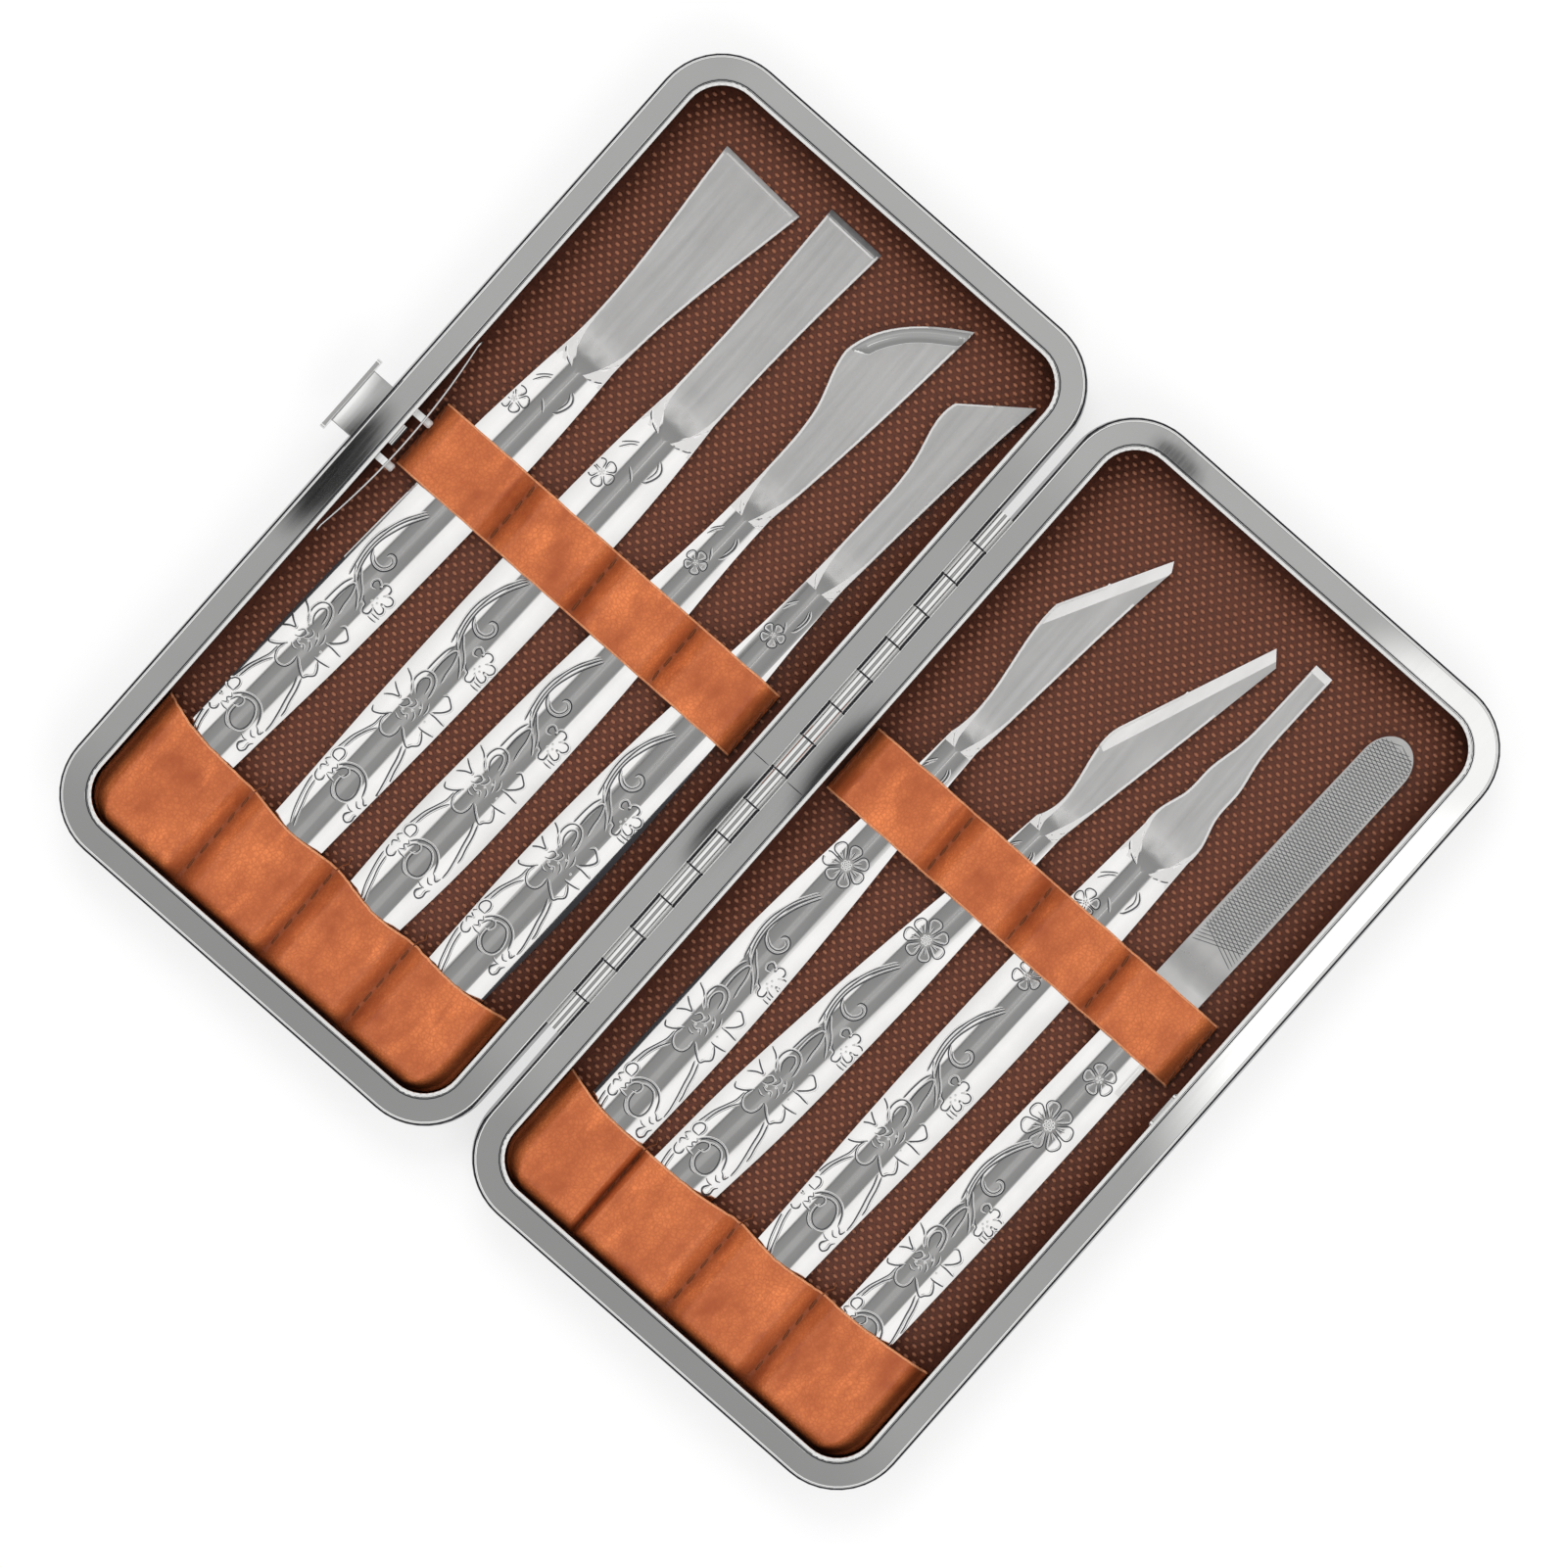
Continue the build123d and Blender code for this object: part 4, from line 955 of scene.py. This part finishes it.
def hinge_gap_shade(heap, side):
    """Painted shade of the hinge: dark strips beside the other half's knuckles, and dark rings between the
    knuckles, where the gaps are only in shadow.
    """
    sign = SIDES[side]
    first = 0 if side == "right" else 1
    for k in range(KNUCKLES):
        top = KNUCKLES * KNUCKLE_PITCH / 2 - k * KNUCKLE_PITCH
        low = top - KNUCKLE_PITCH
        if k % 2 != first:
            near, far = HINGE_X + sign * 1.21 * MM, HINGE_X + sign * 1.52 * MM
            z = RIM_Z - 0.02 * MM
            corners = [(near, low, z), (far, low, z), (far, top, z), (near, top, z)]
            heap.add(corners if sign > 0 else corners[::-1], [(0, 1, 2, 3)])
        elif k:
            outer, inner, wide = 1.13 * MM, 0.64 * MM, 0.13 * MM
            axis = RIM_Z + 0.1 * MM
            around = 20
            verts = [(HINGE_X + r * math.cos(a), top + dy, axis + r * math.sin(a))
                     for r, dy in ((inner, -wide), (outer, -wide), (outer, wide), (inner, wide))
                     for a in (math.tau * i / around for i in range(around))]
            heap.add(verts, [tuple(i % len(verts) for i in face) for face in bands(5, around)])


# Engraving

class Surface:
    """Top of a CAD node, for laying fine work on it."""

    def __init__(self, node):
        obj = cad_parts[node]
        mesh = obj.data
        self.tree = BVHTree.FromPolygons([v.co for v in mesh.vertices],
                                         [tuple(p.vertices) for p in mesh.polygons])

    def z(self, x, y):
        hit = self.tree.ray_cast(Vector((x, y, 0.1)), Vector((0, 0, -1)))[0]
        return hit.z if hit else None

    def inside(self, x, y, margin):
        return all(self.z(x + dx, y + dy) is not None
                   for dx, dy in ((margin, 0), (-margin, 0), (0, margin), (0, -margin)))


def engrave(cuts, surface, path, width, edges=None):
    """Engraved line that follows the surface: a cut darkened with painted shade, and the bright edge thrown up
    beside it.
    """
    made = sizes()
    runs = [[]]
    points = smooth_path(path, 0.22 * MM)
    for i, (x, y) in enumerate(points):
        ahead = Vector(points[min(i + 1, len(points) - 1)]) - Vector(points[max(i - 1, 0)])
        if ahead.length < 1e-9 or not surface.inside(x, y, 0.7 * width):
            runs.append([])
            continue
        side = Vector((-ahead.y, ahead.x)).normalized() * width / 2
        taper = min(1.0, 0.35 + 0.2 * min(i, len(points) - 1 - i))
        row = []
        for share, lift in CUT_PROFILE:
            px, py = x + side.x * share * taper, y + side.y * share * taper
            pz = surface.z(px, py)
            row.append((px, py, (pz if pz is not None else surface.z(x, y)) + lift * made.line_height))
        runs[-1].append(row)
    for run in runs:
        ribbon(cuts, [row[:3] for row in run])
        if edges:
            ribbon(edges, [row[2:] for row in run])


def ribbon(heap, rows):
    """Strip through rows of points, facing up where they run to the left of the strip's way."""
    if len(rows) < 3:
        return
    wide = len(rows[0])
    faces = [(wide * i + k, wide * (i + 1) + k, wide * (i + 1) + k + 1, wide * i + k + 1)
             for i in range(len(rows) - 1) for k in range(wide - 1)]
    heap.add([p for row in rows for p in row], faces)


def petal(cx, cy, turn, inner, outer, spread):
    """Outline of one petal with a blunt tip."""
    shape = ((inner, -0.5), (0.6 * outer, -0.78), (0.88 * outer, -0.74), (outer, -0.36), (1.01 * outer, 0.1),
             (0.97 * outer, 0.5), (0.82 * outer, 0.8), (0.55 * outer, 0.76), (inner, 0.5))
    return [(cx + r * math.cos(turn + s * spread), cy + r * math.sin(turn + s * spread)) for r, s in shape]


def motif(lines, edges, beads, surface, kind, x, y, size, lean, rnd):
    """One ornament: its lines as ribbons, its raised spots as beads. Sizes in millimetres."""
    width = sizes().line_width

    def line(points, weight):
        engrave(lines, surface, [(HINGE_X + px * MM, py * MM) for px, py in points], weight * width, edges)

    def bead(px, py, wide):
        px, py = HINGE_X + px * MM, py * MM
        if surface.inside(px, py, 0.4 * MM):
            beads.dome(px, py, surface.z(px, py), wide * MM, wide * MM, 0.09 * MM)

    if kind == "sprig":
        for weight, points in SPRIG:
            line([(x + size * px + lean * py, y + size * py) for px, py in points], weight)
        for px, py in SPRIG_BEADS:
            bead(x + size * px + lean * py, y + size * py, 0.24)
    else:
        petals = 7 if kind == "flower" else 5
        turn = rnd.uniform(0, math.tau)
        for k in range(petals):
            a = turn + math.tau * k / petals
            line(petal(x, y, a, 0.3 * size, size * rnd.uniform(0.92, 1.05), math.pi / petals * 0.98), 1.0)
            if kind == "flower":
                vein = [(x + r * size * math.cos(a), y + r * size * math.sin(a)) for r in (0.34, 0.5, 0.66)]
                line(vein, 0.7)
            bead(x + 0.17 * size * math.cos(a), y + 0.17 * size * math.sin(a), 0.085 * size)
        bead(x, y, 0.085 * size)


def neck_lines(lines, edges, surface, node):
    """Collar and brackets where the ground blade runs into the handle."""
    across, lean = AXES[node]
    foot = BLADE_FOOT[node]
    level = foot - 6
    reach = NECK_HALF
    while reach > 1.5 and not surface.inside(HINGE_X + (across + lean * level + reach) * MM, level * MM, 0.0):
        reach -= 0.1
    for weight, points in NECK:
        path = [(HINGE_X + (across + lean * (foot + dy) + dx * reach / NECK_HALF) * MM, (foot + dy) * MM)
                for dx, dy in points]
        engrave(lines, surface, path, weight * sizes().line_width, edges)


def blade_sides(surface, node, low, high, step):
    """Y, middle, left reach and right reach of a blade from low to high, in millimetres."""
    across, lean = AXES[node]
    found = []
    for k in range(int((high - low) / step) + 1):
        y = low + step * k
        middle = across + lean * y
        reaches = []
        for way in (-1, 1):
            reach = 0.2
            while reach < 9 and surface.z(HINGE_X + (middle + way * reach) * MM, y * MM) is not None:
                reach += 0.06
            reaches.append(reach)
        found.append((y, middle, *reaches))
    return found


def blade_edges(ground, surface, node):
    """Ground chamfers along both sides of a blade, widening beside the tongue at its foot: rougher ground steel
    with a painted highlight in its brighter tone.
    """
    foot = BLADE_FOOT[node]
    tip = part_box(node)[1][1] / MM
    sides = blade_sides(surface, node, foot - 6.5, tip - 0.8, 0.5)
    for way in (-1, 1):
        rows = []
        for y, middle, left, right in sides:
            reach = left if way < 0 else right
            if left + right < 3.0 or (rows and abs(reach - before) > 0.8):
                break
            before = reach
            share = min(1.0, max(0.0, (y - foot + 6.5) / 9.5))
            wide = CHAMFER + 0.72 * (reach - CHAMFER) * (1 - share) ** 2.2
            row = []
            for inset in (0.08, 0.08 + wide / 2, 0.08 + wide):
                x = HINGE_X + (middle + way * (reach - inset)) * MM
                z = surface.z(x, y * MM)
                row.append((x, y * MM, (z if z is not None else rows[-1][0][2]) + 0.03 * MM))
            rows.append(row[::way])
        ribbon(ground, rows)


def tip_strip(ground, surface, node):
    """Ground bevel across a square end, with the painted highlight of the ground steel."""
    lean = AXES[node][1]
    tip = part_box(node)[1][1] / MM
    (y, middle, left, right), = blade_sides(surface, node, tip - 1.2, tip - 1.2, 1.0)
    path = [(HINGE_X + (middle + d) * MM, (y - d * lean) * MM)
            for d in (-left + 0.35, -left / 2, 0.0, right / 2, right - 0.35)]
    engrave(ground, surface, path, 0.8 * MM)


def file_teeth(lines, surface):
    """Fine cross-cut of the foot file, with the pointed border below it."""
    across, lean = AXES["foot_file"]
    pitch = 0.62
    low, high = 22.5, 66.0
    for way in (-1, 1):
        for i in range(int((high - low + 8) / pitch)):
            start = low - 4 + pitch * i
            path = []
            for dx in (-3.8, -1.9, 0.0, 1.9, 3.8):
                y = start + 4 + way * dx * 0.42
                edge = low + 1.9 - 0.55 * abs(dx) if y < low + 3 else low
                if edge < y < high:
                    path.append((HINGE_X + (across + lean * y + dx) * MM, y * MM))
            if len(path) > 2:
                engrave(lines, surface, path, 0.16 * MM)


def bevel_strip(node):
    """Bright ground bevel along the curved edge of the belly knife."""
    across, lean = AXES[node]
    surface = Surface(node)
    outer = smooth_path([(5.5, 70.0), (2.9, 68.1), (-0.2, 65.7), (-2.9, 62.9), (-5.2, 59.2),
                         (-6.3, 55.6)], 0.4)
    turn = math.atan(lean)
    rows = []
    for i, point in enumerate(outer):
        ahead = Vector(outer[min(i + 1, len(outer) - 1)]) - Vector(outer[max(i - 1, 0)])
        inward = Vector((-ahead.y, ahead.x)).normalized()
        share = min(1.0, (i + 0.4) / 5, (len(outer) - i) / 6)
        row = []
        for depth, lift in ((0.05, 0.012), (0.4, 0.03), (2.2 * share, 0.03), (2.3 * share, 0.0)):
            x, y = Vector(point) + inward * depth
            wx = HINGE_X + (across + x * math.cos(turn) + y * math.sin(turn)) * MM
            wy = (y * math.cos(turn) - x * math.sin(turn)) * MM
            z = surface.z(wx, wy)
            row.append((wx, wy, (z if z is not None else (row or rows[-1])[-1][2]) + lift * MM))
        rows.append(row)
    heap = Heap()
    ribbon(heap, rows)
    piece(f"{node}_bevel", heap, f"{node}_body", "bright_nickel")


# Operators

class PEDICURE_OT_stage(bpy.types.Operator):
    """Floor, soft studio light and the camera straight above the open case"""
    bl_idname = "pedicure.stage"
    bl_label = "Stage"

    def execute(self, context):
        half = sizes().floor_size / 2
        mesh = bpy.data.meshes.new("floor")
        mesh.from_pydata([(x * half, y * half, -0.2 * MM) for x, y in ((-1, -1), (1, -1), (1, 1), (-1, 1))], [],
                         [(0, 1, 2, 3)])
        floor = bpy.data.objects.new("floor", mesh)
        context.scene.collection.objects.link(floor)
        mesh.materials.append(self.floor_material())
        self.world(context.scene)
        for name, place, power in (("key_light", (-0.9, 0.9, 1.5), 14.0),
                                   ("fill_light", (1.1, -0.6, 1.3), 9.0)):
            data = bpy.data.lights.new(name, "AREA")
            data.size = 1.0
            data.energy = power
            lamp = bpy.data.objects.new(name, data)
            lamp.location = place
            lamp.visible_glossy = False
            lamp.rotation_euler = (-Vector(place)).to_track_quat("-Z", "Y").to_euler()
            context.scene.collection.objects.link(lamp)
        self.camera(context.scene)
        context.scene.view_settings.view_transform = "Standard"
        return {"FINISHED"}

    def floor_material(self):
        """Pale floor that shows as white to the camera and to metal, and keeps the shadow."""
        made = Nodes(bpy.data.materials.new("floor"))
        made.set(Base_Color=colours().floor, Roughness=0.9, Specular_IOR_Level=0.0)
        rays = made.add("ShaderNodeLightPath").outputs
        seen = rays["Is Camera Ray"]
        for other in ("Is Glossy Ray", "Is Transmission Ray"):
            seen = made.math("MAXIMUM", seen, rays[other])
        glow = made.add("ShaderNodeEmission", Strength=1.0)
        mix = made.add("ShaderNodeMixShader")
        share = made.math("MULTIPLY", seen, 0.72)
        made.fill(mix, enumerate((share, made.shader.outputs[0], glow.outputs[0])))
        made.link(mix.outputs[0], made.tree.nodes["Material Output"].inputs["Surface"])
        return made.owner

    def world(self, scene):
        """Light tent: greyer straight above, where the camera looks through, and bright around."""
        made = Nodes(bpy.data.worlds.new("light_tent"))
        ramp = made.add("ShaderNodeValToRGB")
        made.link(made.axis("Z", made.direction), ramp.inputs["Fac"])
        elements = ramp.color_ramp.elements
        elements.remove(elements[1])
        for k, (where, value) in enumerate(TENT):
            element = elements.new(where) if k else elements[0]
            element.position = where
            element.color = (value, value, value, 1.0)
        light = ramp.outputs["Color"]
        for card in TENT_CARDS:
            light = self.card(made, light, *card)
        made.set(Color=light, Strength=1.0)
        scene.world = made.owner

    def card(self, made, light, x, y, wide, long, value):
        """Soft-edged card in the top of the tent, lighter or darker than the tent itself."""
        place = made.add("ShaderNodeMapping", vector_type="TEXTURE")
        place.inputs["Location"].default_value = (x, y, 1.0)
        place.inputs["Scale"].default_value = (wide, long, 4.0)
        made.link(made.direction, place.inputs["Vector"])
        far = made.add("ShaderNodeVectorMath", operation="LENGTH")
        made.link(place.outputs[0], far.inputs[0])
        share = made.ramp(far.outputs["Value"], 1.0, 0.0, 0.6, 1.25)
        share.node.interpolation_type = "SMOOTHSTEP"
        return made.mix(share, light, (value, value, value))

    def camera(self, scene):
        made = sizes()
        data = bpy.data.cameras.new("camera")
        data.sensor_width = 36.0
        data.lens = data.sensor_width * made.camera_height / made.view_width
        data.clip_end = 20.0
        camera = bpy.data.objects.new("camera", data)
        right = Vector(VIEW_RIGHT).normalized()
        up = Vector((0, 0, 1)).cross(right)
        centre = Vector((HINGE_X + VIEW_CENTRE[0] * MM, VIEW_CENTRE[1] * MM, RIM_Z + made.camera_height))
        turn = Matrix((right, up, (0, 0, 1))).transposed().to_4x4()
        camera.matrix_world = Matrix.Translation(centre) @ turn
        scene.collection.objects.link(camera)
        scene.camera = camera


class PEDICURE_OT_metalwork(bpy.types.Operator):
    """Plated finish of frames, hinge and latch, catch and spring, the frames' joint lines, and painted shade
    lines in the hinge gaps and on the frames' outer walls
    """
    bl_idname = "pedicure.metalwork"
    bl_label = "Frames, hinge and latch"

    def execute(self, context):
        for side, sign in SIDES.items():
            dress(f"{side}_frame", "frame_nickel_wall_shade")
            dress(f"{side}_hinge_leaf", "bright_nickel")
            lines, groove, light = Heap(), Heap(), Heap()
            scratch = [(HINGE_X + sign * d * MM, -0.4 * MM) for d in (1.9, 2.8, 3.6, 4.4, 5.1)]
            engrave(lines, Surface(f"{side}_frame"), scratch, 0.2 * MM)
            hinge_gap_shade(lines, side)
            edge_painted_shade(lines, side)
            bead_groove_shade(groove, side)
            bead_light(light, side)
            for part, heap, look in (("frame_joints_and_shade", lines, "joint_and_painted_shade"),
                                     ("frame_groove_shade", groove, "engraved_line_shade"),
                                     ("bead_light", light, "bright_nickel")):
                piece(f"{side}_{part}", heap, f"{side}_half", look, False)
        dress("catch_plate", "bright_nickel")
        dress("latch_slider", "frame_nickel_wall_shade")
        dress("latch_studs", "satin_nickel")
        dress("hinge_pin", "spring_strip")
        make_latch_spring()
        lines = Heap()
        latch_lines(lines)
        piece("latch_lines", lines, "latch", "engraved_edge")
        return {"FINISHED"}


class PEDICURE_OT_covers(bpy.types.Operator):
    """Leather outsides with their foam and board"""
    bl_idname = "pedicure.covers"
    bl_label = "Covers"

    def execute(self, context):
        for side in SIDES:
            make_cover(side)
            make_foam(side)
            dress(f"{side}_board", "fibre_board")
        return {"FINISHED"}


class PEDICURE_OT_linings(bpy.types.Operator):
    """Embossed linings of both halves"""
    bl_idname = "pedicure.linings"
    bl_label = "Linings"

    def execute(self, context):
        for side in SIDES:
            make_lining(side)
        return {"FINISHED"}


class PEDICURE_OT_pockets(bpy.types.Operator):
    """Stitched leather pockets for the tool butts"""
    bl_idname = "pedicure.pockets"
    bl_label = "Pockets"

    def execute(self, context):
        make_pocket("left", 11)
        make_pocket("right", 23)
        return {"FINISHED"}


class PEDICURE_OT_bands(bpy.types.Operator):
    """Stitched leather bands over the tool handles"""
    bl_idname = "pedicure.bands"
    bl_label = "Bands"

    def execute(self, context):
        make_band("left", 5)
        make_band("right", 17)
        return {"FINISHED"}


class PEDICURE_OT_tools(bpy.types.Operator):
    """Steel finish and engraved ornament of the eight foot tools"""
    bl_idname = "pedicure.tools"
    bl_label = "Tools"

    def execute(self, context):
        for number, (node, motifs) in enumerate(ORNAMENT.items()):
            FINISHES[f"{node}_steel"] = tool_steel(f"{node}_steel", colours().steel, BLADE_FOOT[node] - 4)
            dress(node, f"{node}_steel")
            surface = Surface(node)
            rnd = random.Random(40 + number)
            lines, edges, beads, ground = Heap(), Heap(), Heap(), Heap()
            for kind, x, y, size in motifs:
                motif(lines, edges, beads, surface, kind, x, y, size, AXES[node][1], rnd)
            if node == "foot_file":
                file_teeth(lines, surface)
            else:
                neck_lines(lines, edges, surface, node)
                blade_edges(ground, surface, node)
            if node in SQUARE_ENDS:
                tip_strip(ground, surface, node)
            for kind, heap, look in (("engraving_shade", lines, "engraved_line_shade"),
                                     ("line_edges", edges, "engraved_edge"),
                                     ("beads", beads, "bright_nickel"),
                                     ("ground_edges", ground, "ground_steel_highlight")):
                if heap.verts:
                    piece(f"{node}_{kind}", heap, f"{node}_body", look)
        bevel_strip("belly_knife")
        return {"FINISHED"}


class PEDICURE_PT_panel(bpy.types.Panel):
    """Sizes, colours and pieces of the pedicure set"""
    bl_idname = "PEDICURE_PT_panel"
    bl_label = "Pedicure set"
    bl_space_type = "VIEW_3D"
    bl_region_type = "UI"
    bl_category = "Pedicure set"

    def draw(self, context):
        for group in (sizes(), colours()):
            box = self.layout.box()
            for key in group.__annotations__:
                box.prop(group, key)
        for operator in OPERATORS:
            self.layout.operator(operator.bl_idname)


OPERATORS = (PEDICURE_OT_metalwork, PEDICURE_OT_covers, PEDICURE_OT_linings, PEDICURE_OT_pockets,
             PEDICURE_OT_bands, PEDICURE_OT_tools, PEDICURE_OT_stage)
CLASSES = (PedicureSetSizes, PedicureSetColours, *OPERATORS, PEDICURE_PT_panel)


def register():
    for cls in CLASSES:
        bpy.utils.register_class(cls)
    bpy.types.Scene.pedicure_sizes = PointerProperty(type=PedicureSetSizes)
    bpy.types.Scene.pedicure_colours = PointerProperty(type=PedicureSetColours)


def unregister():
    del bpy.types.Scene.pedicure_colours
    del bpy.types.Scene.pedicure_sizes
    for cls in reversed(CLASSES):
        bpy.utils.unregister_class(cls)


def main():
    register()
    for group, name in ((bpy.ops.pedicure, operator.bl_idname.split(".")[1]) for operator in OPERATORS):
        if getattr(group, name)() != {"FINISHED"}:
            raise RuntimeError(f"{name} did not finish")
    bpy.context.view_layer.update()


if __name__ == "__main__":
    main()
